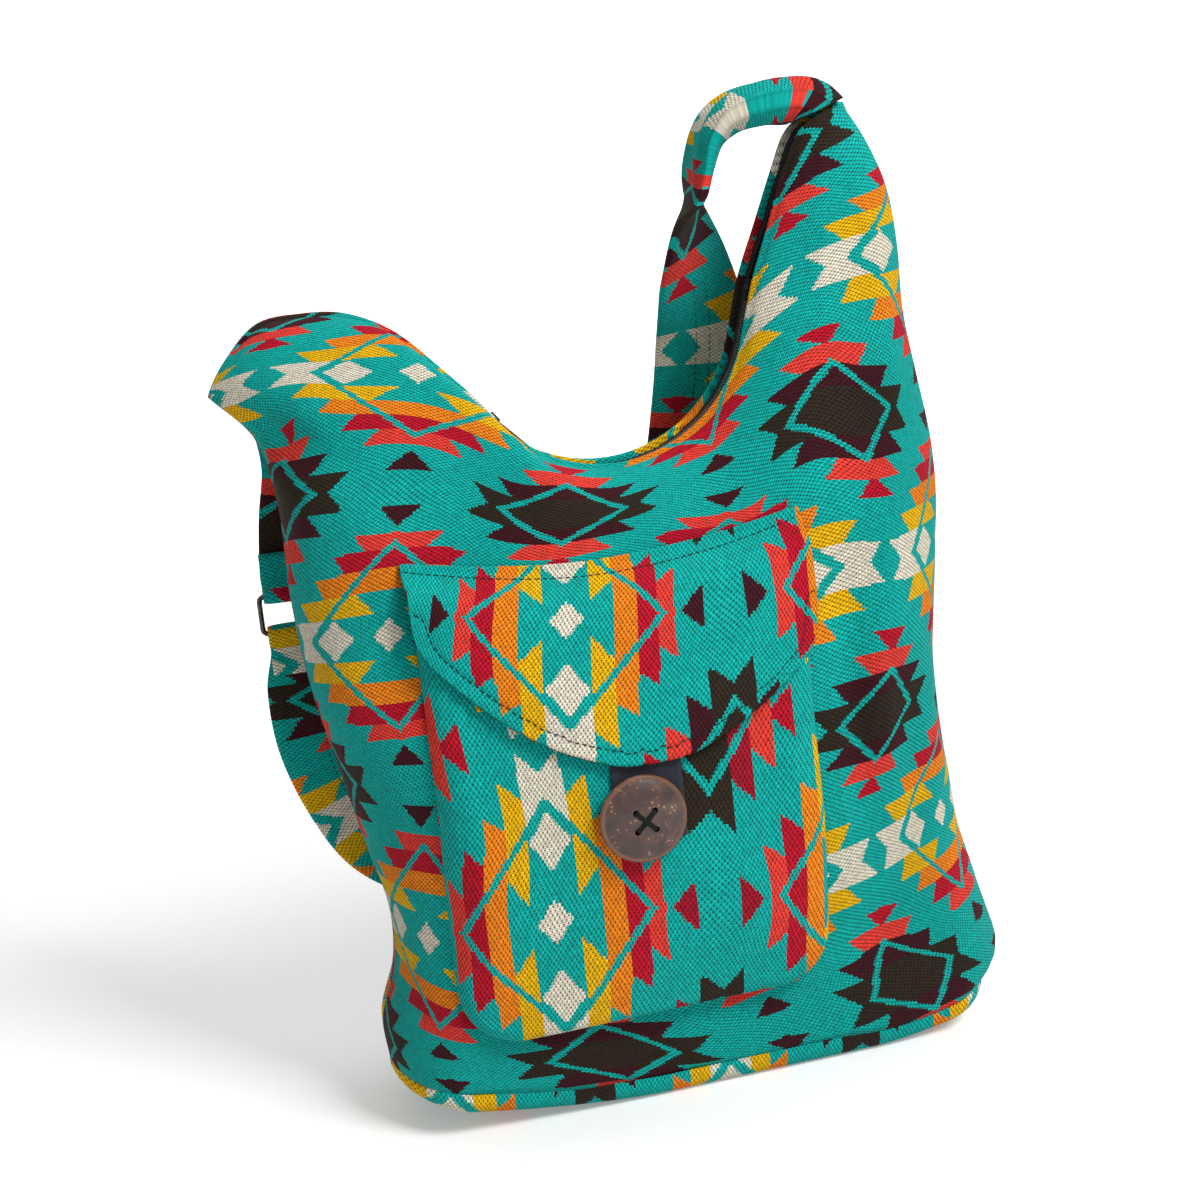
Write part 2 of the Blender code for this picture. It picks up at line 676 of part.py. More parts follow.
def button(place, mat):
    """Domed coconut-shell disc with a lip round its edge and four holes."""
    dome = [(r, button_face(r)) for r in [(BUTTON_RADIUS - BUTTON_RIM) * k / 6 for k in range(7)]]
    edge = [(BUTTON_RADIUS - 0.4 * BUTTON_RIM, BUTTON_RIM_THICKNESS + 0.2 * MM),
            (BUTTON_RADIUS, BUTTON_RIM_THICKNESS * 0.6), (BUTTON_RADIUS - 0.3 * BUTTON_RIM, 0.4 * MM),
            (BUTTON_RADIUS - BUTTON_RIM, 0.0), (0.0, 0.0)]
    obj = turned("button", dome + edge, mat, 36, place)
    cutters = bmesh.new()
    for x, y in button_holes():
        bmesh.ops.create_cone(cutters, cap_ends=True, segments=12, radius1=BUTTON_HOLE_RADIUS,
                              radius2=BUTTON_HOLE_RADIUS, depth=HOLE_CUTTER_LENGTH,
                              matrix=Matrix.Translation((x, y, 0)))
    cut(obj, cutter_object("button_holes_cutter", cutters, place))
    return obj


def button_holes():
    h = BUTTON_HOLE_SPREAD
    return [(h * math.cos(math.radians(a)), h * math.sin(math.radians(a))) for a in (45, 135, 225, 315)]


def cutter_object(name, bm, place):
    mesh = bpy.data.meshes.new(name)
    bm.to_mesh(mesh)
    bm.free()
    obj = bpy.data.objects.new(name, mesh)
    CUTTERS.objects.link(obj)
    obj.matrix_world = place
    obj.hide_render = True
    obj.display_type = "WIRE"
    return obj


def cut(obj, cutter, operation="DIFFERENCE"):
    boolean = obj.modifiers.new(operation.lower(), "BOOLEAN")
    boolean.operation = operation
    boolean.solver = "EXACT"
    boolean.object = cutter


def button_thread(place, stack, mat):
    """Two crossed stitches over the button, joined behind it by a shank sewn to the pocket."""
    disc_top = -LAYER_GAP
    disc_low = disc_top - SHANK_DISC
    stem_low = -stack + LAYER_GAP
    profile = [(0, disc_top), (SHANK_DISC_RADIUS, disc_top), (SHANK_DISC_RADIUS, disc_low),
               (SHANK_RADIUS, disc_low), (SHANK_RADIUS, stem_low), (0, stem_low)]
    obj = turned("button_thread", profile, mat, 20, place)
    holes = button_holes()
    for k, rise in ((0, 0.0), (1, THREAD_RADIUS * 0.9)):
        a, b = Vector((*holes[k], 0)), Vector((*holes[k + 2], 0))
        face = button_face(BUTTON_HOLE_SPREAD) + THREAD_RADIUS + LAYER_GAP
        over = button_face(0) + THREAD_RADIUS + LAYER_GAP + rise
        low = disc_low + 0.3 * SHANK_DISC
        path = [(a.x, a.y, low), (a.x, a.y, face), (0, 0, over), (b.x, b.y, face), (b.x, b.y, low)]
        cut(obj, tube_cutter(f"thread_stitch_{k}", path, THREAD_RADIUS, place), "UNION")
    return obj


def tube_cutter(name, path, radius, place):
    """A closed round rod along a flat path, mitred at its corners."""
    points = [Vector(p) for p in path]
    side = (points[-1] - points[0]).cross(Vector((0, 0, 1))).normalized()
    bm = bmesh.new()
    rings = []
    for k, point in enumerate(points):
        before = (point - points[max(k - 1, 0)]).normalized()
        after = (points[min(k + 1, len(points) - 1)] - point).normalized()
        way = (before + after).normalized()
        stretch = 1 / max(0.3, way.dot(after if after.length else before))
        mitre = side.cross(way) * stretch
        angles = [math.tau * n / THREAD_SIDES for n in range(THREAD_SIDES)]
        spots = [point + (side * math.cos(a) + mitre * math.sin(a)) * radius for a in angles]
        rings.append([bm.verts.new(spot) for spot in spots])
    for a, b in zip(rings, rings[1:]):
        bridge_rings(bm, a, b)
    bm.faces.new(rings[0])
    bm.faces.new(list(reversed(rings[-1])))
    bmesh.ops.recalc_face_normals(bm, faces=bm.faces)
    return cutter_object(name, bm, place)


def zip_line(first, last, step):
    """Points along the mouth rim between two of its samples, each with the way down into the bag."""
    points = RIM.points[first:last + 1:step]
    ways = np.gradient(points[:, :2], axis=0)
    out = []
    for (x, z, gap), (tx, tz) in zip(points, ways):
        size = math.hypot(tx, tz)
        out.append((Vector((x, 0, z)), Vector((tz / size, 0, -tx / size)), gap))
    return out


def sweep(name, line, section, mat):
    """A closed bar along a line. section(gap) gives its outline as (y, depth below the rim)."""
    bm = bmesh.new()
    rings = []
    for origin, down, gap in line:
        rings.append([bm.verts.new(origin + down * r + Vector((0, y, 0))) for y, r in section(gap)])
    for a, b in zip(rings, rings[1:]):
        bridge_rings(bm, a, b)
    bm.faces.new(rings[0])
    bm.faces.new(list(reversed(rings[-1])))
    bmesh.ops.recalc_face_normals(bm, faces=bm.faces)
    return object_from(bm, name, mat)


TAPE_TOP = FABRIC + LAYER_GAP
COIL_TOP = TAPE_TOP - LAYER_GAP - COIL_THICKNESS


def zip_pieces(cloth, coil_mat, metal):
    start = ARC_FIRST - TAPE_LEAD_SAMPLES
    end = ARC_LAST + HORN_SAMPLES
    for word, side in (("front", -1), ("back", 1)):
        def tape(gap, side=side):
            outer = side * (gap + RIM_STRIP - FABRIC)
            inner = side * TAPE_INNER_EDGE
            return ((outer, TAPE_TOP), (inner, TAPE_TOP), (inner, TAPE_TOP + TAPE_THICKNESS),
                    (outer, TAPE_TOP + TAPE_THICKNESS))

        def coil(_gap, side=side):
            inner = side * CHAIN_SLOT / 2
            outer = inner + side * COIL_WIDTH
            low = COIL_TOP + COIL_THICKNESS
            bevel = COIL_THICKNESS * 0.3
            return ((inner, COIL_TOP + bevel), (inner + side * bevel, COIL_TOP),
                    (outer - side * bevel, COIL_TOP), (outer, COIL_TOP + bevel), (outer, low), (inner, low))
        sweep("zipper_tape_" + word, zip_line(start, end, 3), tape, cloth)
        coil_line = zip_line(ARC_FIRST + COIL_LEAD_SAMPLES, end - COIL_TAIL_SAMPLES, 4)
        sweep("zipper_coil_" + word, coil_line, coil, coil_mat)

    def stop(_gap):
        wide = CHAIN_SLOT / 2 + COIL_WIDTH + 0.4 * MM
        low = TAPE_TOP - LAYER_GAP
        return ((-wide, COIL_TOP), (wide, COIL_TOP), (wide, low), (-wide, low))
    sweep("zipper_stop_left", zip_line(ARC_FIRST, ARC_FIRST + STOP_SAMPLES, 1), stop, metal)
    sweep("zipper_stop_right", zip_line(end - STOP_SAMPLES, end - 1, 1), stop, metal)


def at_arc(angle):
    """Frame on the zip's arc: X along it, Y across, Z out of the bag."""
    x, z = arc_point(angle)
    along = Vector((-math.sin(angle), 0, math.cos(angle)))
    out = Vector((-math.cos(angle), 0, -math.sin(angle)))
    across = out.cross(along)
    turn = Matrix((along, across, out)).transposed().to_4x4()
    return Matrix.Translation((x, 0, z)) @ turn


SLIDER_REST = ARC_START + (4.5 * MM + SLIDER_LENGTH / 2 + SLIDER_CLEARANCE) / ARC_RADIUS
PIVOT_HEIGHT = SLIDER_PLATE + SLIDER_CLEARANCE - COIL_TOP + PULL_ROD_RADIUS * 2


def box_mesh(bm, low, high):
    size = [h - l for l, h in zip(low, high)]
    middle = [(l + h) / 2 for l, h in zip(low, high)]
    place = Matrix.Translation(middle) @ Matrix.Diagonal((*size, 1))
    bmesh.ops.create_cube(bm, size=1, matrix=place)


def united(name, boxes, mat, place):
    """One solid from overlapping boxes."""
    main = None
    for k, (low, high) in enumerate(boxes):
        bm = bmesh.new()
        box_mesh(bm, low, high)
        if main is None:
            main = object_from(bm, name, mat)
            main.matrix_world = place
        else:
            cut(main, cutter_object(f"{name}_joined_{k}", bm, place), "UNION")
    return main


def zipper_slider(mat):
    """Two plates that clasp the chain, joined by a post, with a bridge for the pull."""
    half = SLIDER_LENGTH / 2
    top_low = -COIL_TOP + SLIDER_CLEARANCE
    top_high = top_low + SLIDER_PLATE
    low_high = -(TAPE_TOP + TAPE_THICKNESS + SLIDER_CLEARANCE)
    low_low = low_high - SLIDER_PLATE
    wide = CHAIN_SLOT / 2 + COIL_WIDTH + SLIDER_CLEARANCE + SLIDER_FLANGE
    post = CHAIN_SLOT / 2 - LAYER_GAP
    flange_low = -(TAPE_TOP - SLIDER_CLEARANCE)
    bridge = BRIDGE_LENGTH / 2
    narrow = BRIDGE_WIDTH / 2
    bar_low = top_high + BRIDGE_HEIGHT - BRIDGE_BAR
    overlap = JOIN_OVERLAP
    leg_low = top_high - overlap
    post_from = -half + POST_FROM_END
    boxes = [((-half, -wide, top_low), (half, wide, top_high)),
             ((-half, -wide, low_low), (half, wide, low_high)),
             ((post_from, -post, low_high - overlap), (post_from + POST_LENGTH, post, top_low + overlap)),
             ((-half, -wide, flange_low), (half, -wide + SLIDER_FLANGE, top_low + overlap)),
             ((-half, wide - SLIDER_FLANGE, flange_low), (half, wide, top_low + overlap)),
             ((-bridge, -narrow, leg_low), (-bridge + BRIDGE_BAR, narrow, bar_low)),
             ((bridge - BRIDGE_BAR, -narrow, leg_low), (bridge, narrow, bar_low)),
             ((-bridge, -narrow, bar_low - overlap), (bridge, narrow, bar_low + BRIDGE_BAR))]
    return united("zipper_slider", boxes, mat, at_arc(SLIDER_REST))


def pull_place():
    return (at_arc(SLIDER_REST) @ Matrix.Translation((0, 0, PIVOT_HEIGHT))
            @ Matrix.Rotation(-PULL_LIFT, 4, "Y"))


def zipper_pull(mat):
    """Pull tab: a rod under the bridge, two arms and a plate with a hole."""
    rod = PULL_ROD_RADIUS
    half = PULL_THICKNESS / 2
    wide = PULL_WIDTH / 2
    arm = BRIDGE_WIDTH / 2 + SLIDER_CLEARANCE
    plate_from = BRIDGE_LENGTH / 2 + BRIDGE_HEIGHT * 0.6
    hole_to = PULL_LENGTH - PULL_HOLE_FROM_END
    boxes = [((-rod, -wide, -rod), (rod, wide, rod)),
             ((-rod * 0.9, -wide * 0.98, -half * 0.85), (plate_from + 1 * MM, -arm, half * 0.85)),
             ((-rod * 0.9, arm, -half * 0.85), (plate_from + 1 * MM, wide * 0.98, half * 0.85)),
             ((plate_from, -wide * 1.15, -half), (PULL_LENGTH, wide * 1.15, half))]
    obj = united("zipper_pull", boxes, mat, pull_place())
    hole = bmesh.new()
    box_mesh(hole, (hole_to - PULL_HOLE, -wide * 0.5, -4 * half), (hole_to, wide * 0.5, 4 * half))
    cut(obj, cutter_object("pull_hole_cutter", hole, pull_place()))
    return obj


def carry(child, parent):
    child.parent = parent
    child.matrix_parent_inverse = parent.matrix_world.inverted()


def axis_empty(name, place):
    empty = bpy.data.objects.new(name, None)
    PARTS.objects.link(empty)
    empty.location = place
    bpy.context.view_layer.update()
    return empty


def strap_ring_sizes():
    half_width = STRAP_WIDTH / 2 + RING_SIDE_ROOM + RING_WIRE
    half_height = RING_OPENING / 2 + STRAP_END_THICKNESS + LAYER_GAP + RING_WIRE
    return half_width, half_height


def strap_ring(mat):
    """Closed rectangular wire ring."""
    half_width, half_height = strap_ring_sizes()
    path = []
    for sx, sz, first in ((1, 1, 0), (-1, 1, 90), (-1, -1, 180), (1, -1, 270)):
        for step in range(4):
            angle = math.radians(first + 30 * step)
            x = sx * (half_width - RING_CORNER) + RING_CORNER * math.cos(angle)
            z = sz * (half_height - RING_CORNER) + RING_CORNER * math.sin(angle)
            path.append((RING_X + x, RING_Y, RING_Z + z))
    curve = bpy.data.curves.new("strap_ring", "CURVE")
    curve.dimensions = "3D"
    spline = curve.splines.new("POLY")
    spline.points.add(len(path) - 1)
    for point, co in zip(spline.points, path):
        point.co = (*co, 1)
    spline.use_cyclic_u = True
    curve.bevel_depth = RING_WIRE
    curve.bevel_resolution = 2
    obj = bpy.data.objects.new("strap_ring", curve)
    PARTS.objects.link(obj)
    curve.materials.append(mat)
    return obj


def strap_loop(way):
    """Stations of a strap's end round a ring bar and back beside itself: way 1 from above, -1 from below."""
    bar_z = RING_Z + way * strap_ring_sizes()[1]
    reach = RING_WIRE + LAYER_GAP + STRAP_END_THICKNESS / 2
    beside = STRAP_END_THICKNESS / 2 + LAYER_GAP
    size = (STRAP_WIDTH, STRAP_END_THICKNESS)
    parted = beside + LOOP_PARTED
    stations = [(RING_X, RING_Y + beside, bar_z + way * LOOP_CLOSED, 0, 1, 0, *size)]
    stations.append((RING_X, RING_Y + parted, bar_z + way * LOOP_PARTING, 0, 1, 0, *size))
    for k in range(7):
        angle = math.radians(30 * k)
        y, z = math.cos(angle), -way * math.sin(angle)
        stations.append((RING_X, RING_Y + reach * y, bar_z + reach * z, 0, y, z, *size))
    stations.append((RING_X, RING_Y - parted, bar_z + way * LOOP_PARTING, 0, -1, 0, *size))
    stations.append((RING_X, RING_Y - beside, bar_z + way * LOOP_CLOSED, 0, -1, 0, *size))
    stations.append((RING_X, RING_Y - beside, bar_z + way * STRAP_TAIL, 0, -1, 0, *size))
    return stations


def strap_section(width, thickness, count=10):
    """A flat oval as (across, out) pairs."""
    out = []
    for k in range(count):
        angle = math.tau * (k + 0.5) / count
        c, s = math.cos(angle), math.sin(angle)
        across = width / 2 * math.copysign(abs(c) ** 0.35, c)
        out.append((across, thickness / 2 * math.copysign(abs(s) ** 0.6, s)))
    return out


def strap_route(stations, end_loop):
    """Stations in metres, smoothed, none closer than a short step."""
    route = [tuple(v * MM for v in s[:3]) + s[3:6] + (s[6] * MM, s[7] * MM) for s in stations]
    dense = smooth_curve(route + end_loop, 3)
    kept = [dense[0]]
    for station in dense[1:]:
        if np.linalg.norm(station[:3] - kept[-1][:3]) > STATION_STEP:
            kept.append(station)
    return kept


def strap(name, stations, end_loop, mat):
    """A strap lofted through flat oval sections along its route."""
    route = strap_route(stations, end_loop)
    ways = np.gradient(np.array([s[:3] for s in route]), axis=0)
    bm = bmesh.new()
    rings = []
    for station, way in zip(route, ways):
        tangent = Vector(way).normalized()
        out = Vector(station[3:6]).normalized()
        across = out.cross(tangent).normalized()
        middle = Vector(station[:3])
        section = strap_section(station[6], station[7])
        rings.append([bm.verts.new(middle + across * a + out * o) for a, o in section])
    for a, b in zip(rings, rings[1:]):
        bridge_rings(bm, a, b)
    bm.faces.new(rings[0])
    bm.faces.new(list(reversed(rings[-1])))
    bmesh.ops.recalc_face_normals(bm, faces=bm.faces)
    return object_from(bm, name, mat)


def build():
    cloth = material("woven_jacquard_turquoise", "14B8A9", 0.9)
    base_cloth = material("woven_jacquard_base", "0E9C92", 0.9)
    black_cloth = material("black_lining_cloth", "16171A", 0.85)
    tab_cloth = material("charcoal_tab_cloth", "22242A", 0.85)
    shell = material("coconut_shell", "5B4038", 0.45)
    thread = material("black_thread", "101012", 0.8)
    wire = material("dark_bronze_wire", "3A3430", 0.4, 1.0)
    plastic = material("black_nylon_coil", "141416", 0.45)

    front = body_panel("front_panel", -1, cloth)
    body_panel("back_panel", 1, cloth)
    base_panel(base_cloth)
    lining_pouch(black_cloth)

    body = surface_of(front)
    pocket = thicken(grid_object("front_pocket", pocket_rows(body), cloth), FABRIC)
    thicken(grid_object("pocket_lining", pocket_rows(body), black_cloth), LINING, FABRIC + LAYER_GAP)
    flap_grid = flap_rows(body)
    thicken(grid_object("pocket_flap", flap_grid, cloth), FLAP_FABRIC)
    thicken(grid_object("flap_lining", flap_grid, black_cloth), FLAP_LINING, FLAP_FABRIC + LAYER_GAP)

    pocket_surface = surface_of(pocket)
    closure_tab(pocket_surface, tab_cloth)
    place, stack = button_place(pocket_surface)
    button(place, shell)
    button_thread(place, stack, thread)

    zip_pieces(black_cloth, plastic, wire)
    slider_axis = axis_empty("slider_axis", (ARC_CENTRE_X, 0, ARC_CENTRE_Z))
    slider = zipper_slider(wire)
    pull = zipper_pull(wire)
    pull_axis = axis_empty("pull_axis", pull_place().translation)
    carry(slider, slider_axis)
    carry(pull_axis, slider_axis)
    carry(pull, pull_axis)

    strap_ring(wire)
    strap("strap_long", LONG_STRAP, strap_loop(-1), cloth)
    strap("strap_short", SHORT_STRAP, strap_loop(1), cloth)


def collection(name):
    group = bpy.data.collections.new(name)
    bpy.context.scene.collection.children.link(group)
    return group


clear_scene()
PARTS = collection("woven_hobo_bag")
CUTTERS = collection("cutters")
build()
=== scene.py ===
"""Woven hobo shoulder bag: how it looks.

A slouchy bag of thick jacquard cloth with two horns, a flapped and buttoned front pocket, a zipped mouth
and a strap joined by a wire ring. The outer cloth is laid out again here at a finer step than in the CAD, in
the same places, and each patterned piece carries its place in the weave as a UV map in metres. The two
linings and the metal parts keep their CAD shapes.
"""

import math

import bmesh
import bpy
import numpy as np
from mathutils import Matrix, Vector
from mathutils.bvhtree import BVHTree


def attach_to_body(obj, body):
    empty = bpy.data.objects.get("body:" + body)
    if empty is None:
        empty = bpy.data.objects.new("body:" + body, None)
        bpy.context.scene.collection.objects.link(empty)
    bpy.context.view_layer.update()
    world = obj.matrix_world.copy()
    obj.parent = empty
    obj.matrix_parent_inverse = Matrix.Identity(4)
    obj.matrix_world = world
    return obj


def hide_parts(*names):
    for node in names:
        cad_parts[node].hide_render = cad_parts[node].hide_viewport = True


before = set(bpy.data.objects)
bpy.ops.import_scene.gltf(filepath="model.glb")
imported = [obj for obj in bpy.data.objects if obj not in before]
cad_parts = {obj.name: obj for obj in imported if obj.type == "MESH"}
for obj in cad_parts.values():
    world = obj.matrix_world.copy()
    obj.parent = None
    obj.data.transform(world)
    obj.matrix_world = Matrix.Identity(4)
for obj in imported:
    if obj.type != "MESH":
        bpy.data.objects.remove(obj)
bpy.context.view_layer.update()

MM = 0.001

# Camera, at the photograph's viewing angle
VIEW_AZIMUTH = -14
VIEW_ELEVATION = 13
VIEW_ROLL = 5.5
VIEW_DISTANCE = 1.045
VIEW_TARGET = (-0.038, 0, 0.275)
LENS = 57
SENSOR_WIDTH = 36
PHOTO_SIZE = 1200
FOCAL = LENS / SENSOR_WIDTH * PHOTO_SIZE

# Softness of the sheet that the pattern is spread with
BEND_UNIT = 100 * MM
BEND_EASE = 0.02

# Body outline in the seam plane, millimetres (x, z), bottom to top
LEFT_SEAM = ((-184, 33), (-185, 58), (-175, 88), (-174, 122), (-182, 158), (-191, 204), (-200, 248),
             (-205, 300), (-205, 350), (-212, 386), (-233, 411))
RIGHT_SEAM = ((170, 27), (180, 43), (176, 62), (170, 82), (165, 101), (160, 122), (157, 147), (153, 176),
              (151, 204), (151, 232), (156, 272), (160, 312), (159, 346), (154, 380), (149, 414), (148, 450),
              (144, 481), (134, 507), (122, 528))
# Mouth rim (x, z, half gap) on either side of the zip's arc
RIM_LEFT = ((-233, 411, 0.2), (-221, 427, 0.2), (-203, 443.5, 0.2), (-180, 446, 0.3), (-158, 443.5, 2),
            (-136, 432.5, 5.5), (-114, 410.5, 9))
RIM_RIGHT = ((61.5, 440, 10), (73, 468, 9), (83.5, 494, 7.5), (94, 514, 9.5), (107, 522, 12), (122, 528, 2))
ARC_CENTRE = np.array((-25, 430)) * MM
ARC_RADIUS = 80.5 * MM
ARC_START = math.radians(211)
ARC_END = math.radians(348)
ARC_STEPS = 12
RIM_HALF_GAP = 10
RIM_SAMPLES = 10
ARC_FIRST = len(RIM_LEFT) * RIM_SAMPLES
ARC_LAST = ARC_FIRST + ARC_STEPS * RIM_SAMPLES

# Depth of the body and its rounding at the side seams and rim, millimetres, by height
HALF_DEPTH = ((0, 50), (60, 57), (150, 63), (240, 60), (300, 50), (360, 38), (420, 27), (540, 15))
SIDE_ROUNDING = ((0, 34), (80, 46), (160, 58), (300, 55), (400, 36), (540, 20))
RIM_ROUNDING = ((0, 75), (380, 70), (450, 40), (540, 26))
CLOTH = 2.0 * MM
HEM_RADIUS = 1.9 * MM
HEM_DEPTH = 9 * MM
BODY_COLUMNS = 130
BODY_ROWS = 120

# Base
BASE_TURN_UP = 12 * MM
BASE_ROUNDING = 9 * MM
BASE_FLAT_HALF = 62 * MM
BASE_MIDDLE_X = 24 * MM

# Pattern: one repeat of the diamonds along its long and its short side
REPEAT_LONG = 172 * MM
REPEAT_SHORT = 158 * MM
# Where a large diamond's middle lies on the back and on the base, millimetres
BACK_MOTIF = (-20, 200)
BASE_MOTIF = (-2, -55)


def linear(hex_rgb):
    """A linear colour from an sRGB hex value."""
    parts = [int(hex_rgb[i:i + 2], 16) / 255 for i in (0, 2, 4)]
    return [p / 12.92 if p <= 0.04045 else ((p + 0.055) / 1.055) ** 2.4 for p in parts] + [1.0]


def add(tree, kind, *inputs, stops=None, **settings):
    """Adds a node, sets it up and links or fills its inputs in order. None leaves an input as it is."""
    node = tree.nodes.new(kind)
    for key, value in settings.items():
        setattr(node, key, value)
    for socket, value in zip(node.inputs, inputs):
        if isinstance(value, bpy.types.Node):
            value = value.outputs[0]
        if isinstance(value, bpy.types.NodeSocket):
            tree.links.new(value, socket)
        elif value is not None:
            socket.default_value = value
    if stops:
        elements = node.color_ramp.elements
        while len(elements) < len(stops):
            elements.new(1.0)
        for element, (position, colour) in zip(elements, stops):
            element.position = position
            element.color = colour if hasattr(colour, "__len__") else (colour, colour, colour, 1)
    return node


def calc(tree, operation, *values, **settings):
    """A sum with plain numbers."""
    return add(tree, "ShaderNodeMath", *values, operation=operation, **settings)


def vector(tree, operation, *values):
    """A sum with vectors."""
    return add(tree, "ShaderNodeVectorMath", *values, operation=operation)


def remap(tree, *values, soft=False):
    """Moves a number from one range to another: the number, then the two ranges."""
    return add(tree, "ShaderNodeMapRange", *values, interpolation_type="SMOOTHSTEP" if soft else "LINEAR")


def noise(tree, place, scale, detail=2):
    """Cloudy noise."""
    node = add(tree, "ShaderNodeTexNoise", place)
    node.inputs["Scale"].default_value = scale
    node.inputs["Detail"].default_value = detail
    return node


def relief(tree, shader, height, distance):
    """Bump that raises the surface by a height times a distance."""
    bump = add(tree, "ShaderNodeBump")
    bump.inputs["Strength"].default_value = 1.0
    bump.inputs["Distance"].default_value = distance
    tree.links.new(height.outputs[0], bump.inputs["Height"])
    tree.links.new(bump.outputs[0], shader.inputs["Normal"])


def seen_directly(tree):
    """1 where the camera or a reflection looks at it, 0 for the light that it throws."""
    path = tree.nodes.new("ShaderNodeLightPath")
    return calc(tree, "MAXIMUM", path.outputs["Is Camera Ray"], path.outputs["Is Glossy Ray"])


def new_material(name, roughness, **sockets):
    """A Principled material with plain values on its own sockets."""
    mat = bpy.data.materials.new(name)
    mat.use_nodes = True
    shader = mat.node_tree.nodes["Principled BSDF"]
    shader.inputs["Roughness"].default_value = roughness
    for key, value in sockets.items():
        shader.inputs[key.replace("_", " ")].default_value = value
    return mat, mat.node_tree, shader


# The cloth

TURQUOISE = linear("07B2A9")
CRIMSON = linear("C4122C")
CORAL = linear("EE4238")
ORANGE = linear("F98A1C")
YELLOW = linear("F3BC0E")
CREAM = linear("ECE4CF")
DARK_BROWN = linear("2F251B")
MAROON = linear("40121C")
POCKET_RED = linear("A5122B")

# Woven bands by distance from a diamond's long axis in millimetres: where each starts, its colour, and how
# far its points reach at its start and at its end
LARGE_BANDS = ((0, CREAM, 74, 83.5), (11.5, YELLOW, 60, 70.7), (24, ORANGE, 45.5, 54),
               (34.5, CRIMSON, 30.5, 40), (45, CORAL, 18, 26.5), (55, TURQUOISE, 0, 0),
               (59, "dark", 0, 13), (71, TURQUOISE, 0, 0))
SMALL_BANDS = ((0, DARK_BROWN, 38, 50), (11.4, "dark", 26, 36), (23, CORAL, 13.5, 23), (34.5, CRIMSON, 2, 12),
               (45, TURQUOISE, 0, 0))
BANDS_TO = REPEAT_SHORT / 2 / MM
REACH_TO = 100
LARGE_OUTLINE = (58, 48.5)
SMALL_OUTLINE = (30, 23)
OUTLINE_HALF = 1.7
CENTRE_DIAMOND = (9.6, 8.5)
SIDE_RHOMBUS_AT = 37.6
SIDE_RHOMBUS = (14.7, 11.3)
HOLLOW_TO = 24
HOLLOW_EDGE = ((0, 100), (12, 100), (12.1, 9), (24, 23.4))
# Yarn crossings, in millimetres: the pattern steps by one crossing, and each second one shows a pit that is
# painted dark as shade
CROSSING_LONG = 1.75
CROSSING_SHORT = 1.15
PIT_SHIFT = 0.4


def band_colours(bands, dark):
    """Ramp stops of the bands' colours."""
    return [(start / BANDS_TO, dark if colour == "dark" else colour) for start, colour, _near, _far in bands]


def band_reaches(bands):
    """Ramp stops of how far each band's points reach, as shares of REACH_TO."""
    ends = [band[0] for band in bands[1:]] + [BANDS_TO]
    stops = []
    for (start, _colour, near, far), end in zip(bands, ends):
        stops.append((start / BANDS_TO, near / REACH_TO))
        stops.append(((end - 0.1) / BANDS_TO, far / REACH_TO))
    return stops


def motif(tree, crossings, shift, bands, outline, dark):
    """Folds the cloth into a quarter of a diamond: the folded place, the band's colour and the mask."""
    moved = vector(tree, "ADD", crossings, shift)
    half = (REPEAT_LONG / MM / 2, REPEAT_SHORT / MM / 2, 1)
    wrapped = vector(tree, "WRAP", moved, half, [-h for h in half])
    folded = vector(tree, "ABSOLUTE", wrapped)
    axes = add(tree, "ShaderNodeSeparateXYZ", folded)
    share = calc(tree, "DIVIDE", axes.outputs["Y"], BANDS_TO)
    colour = add(tree, "ShaderNodeValToRGB", share, stops=band_colours(bands, dark))
    colour.color_ramp.interpolation = "CONSTANT"
    reach = add(tree, "ShaderNodeValToRGB", share, stops=band_reaches(bands))
    far = calc(tree, "MULTIPLY", reach, REACH_TO)
    within = calc(tree, "LESS_THAN", axes.outputs["X"], far)
    slopes = (1 / outline[0], 1 / outline[1], 0)
    ring = vector(tree, "DOT_PRODUCT", folded, slopes).outputs["Value"]
    width = OUTLINE_HALF * math.hypot(*slopes)
    line = calc(tree, "COMPARE", ring, 1.0, width)
    mask = calc(tree, "SUBTRACT", within, line, use_clamp=True)
    return folded, axes, ring, colour, mask


def diamond_heart(tree, folded, axes, ring):
    """The large diamond's hollow turquoise middle, without its cream lozenges."""
    small = (1 / CENTRE_DIAMOND[0], 1 / CENTRE_DIAMOND[1], 0)
    centre = vector(tree, "DOT_PRODUCT", folded, small).outputs["Value"]
    aside = vector(tree, "ADD", folded, (-SIDE_RHOMBUS_AT, 0, 0))
    aside = vector(tree, "ABSOLUTE", aside)
    sides = (1 / SIDE_RHOMBUS[0], 1 / SIDE_RHOMBUS[1], 0)
    rhombus = vector(tree, "DOT_PRODUCT", aside, sides).outputs["Value"]
    lozenge = calc(tree, "MINIMUM", centre, rhombus)
    plain = calc(tree, "GREATER_THAN", lozenge, 1.0)
    share = calc(tree, "DIVIDE", axes.outputs["Y"], BANDS_TO)
    stops = [(q / BANDS_TO, p / REACH_TO) for q, p in HOLLOW_EDGE]
    edge = add(tree, "ShaderNodeValToRGB", share, stops=stops)
    edge = calc(tree, "MULTIPLY", edge, REACH_TO)
    near = calc(tree, "LESS_THAN", axes.outputs["X"], edge)
    low = calc(tree, "LESS_THAN", axes.outputs["Y"], HOLLOW_TO)
    inside = calc(tree, "LESS_THAN", ring, 1.0)
    both = calc(tree, "MULTIPLY", near, low)
    both = calc(tree, "MULTIPLY", both, inside)
    return calc(tree, "MULTIPLY", both, plain)


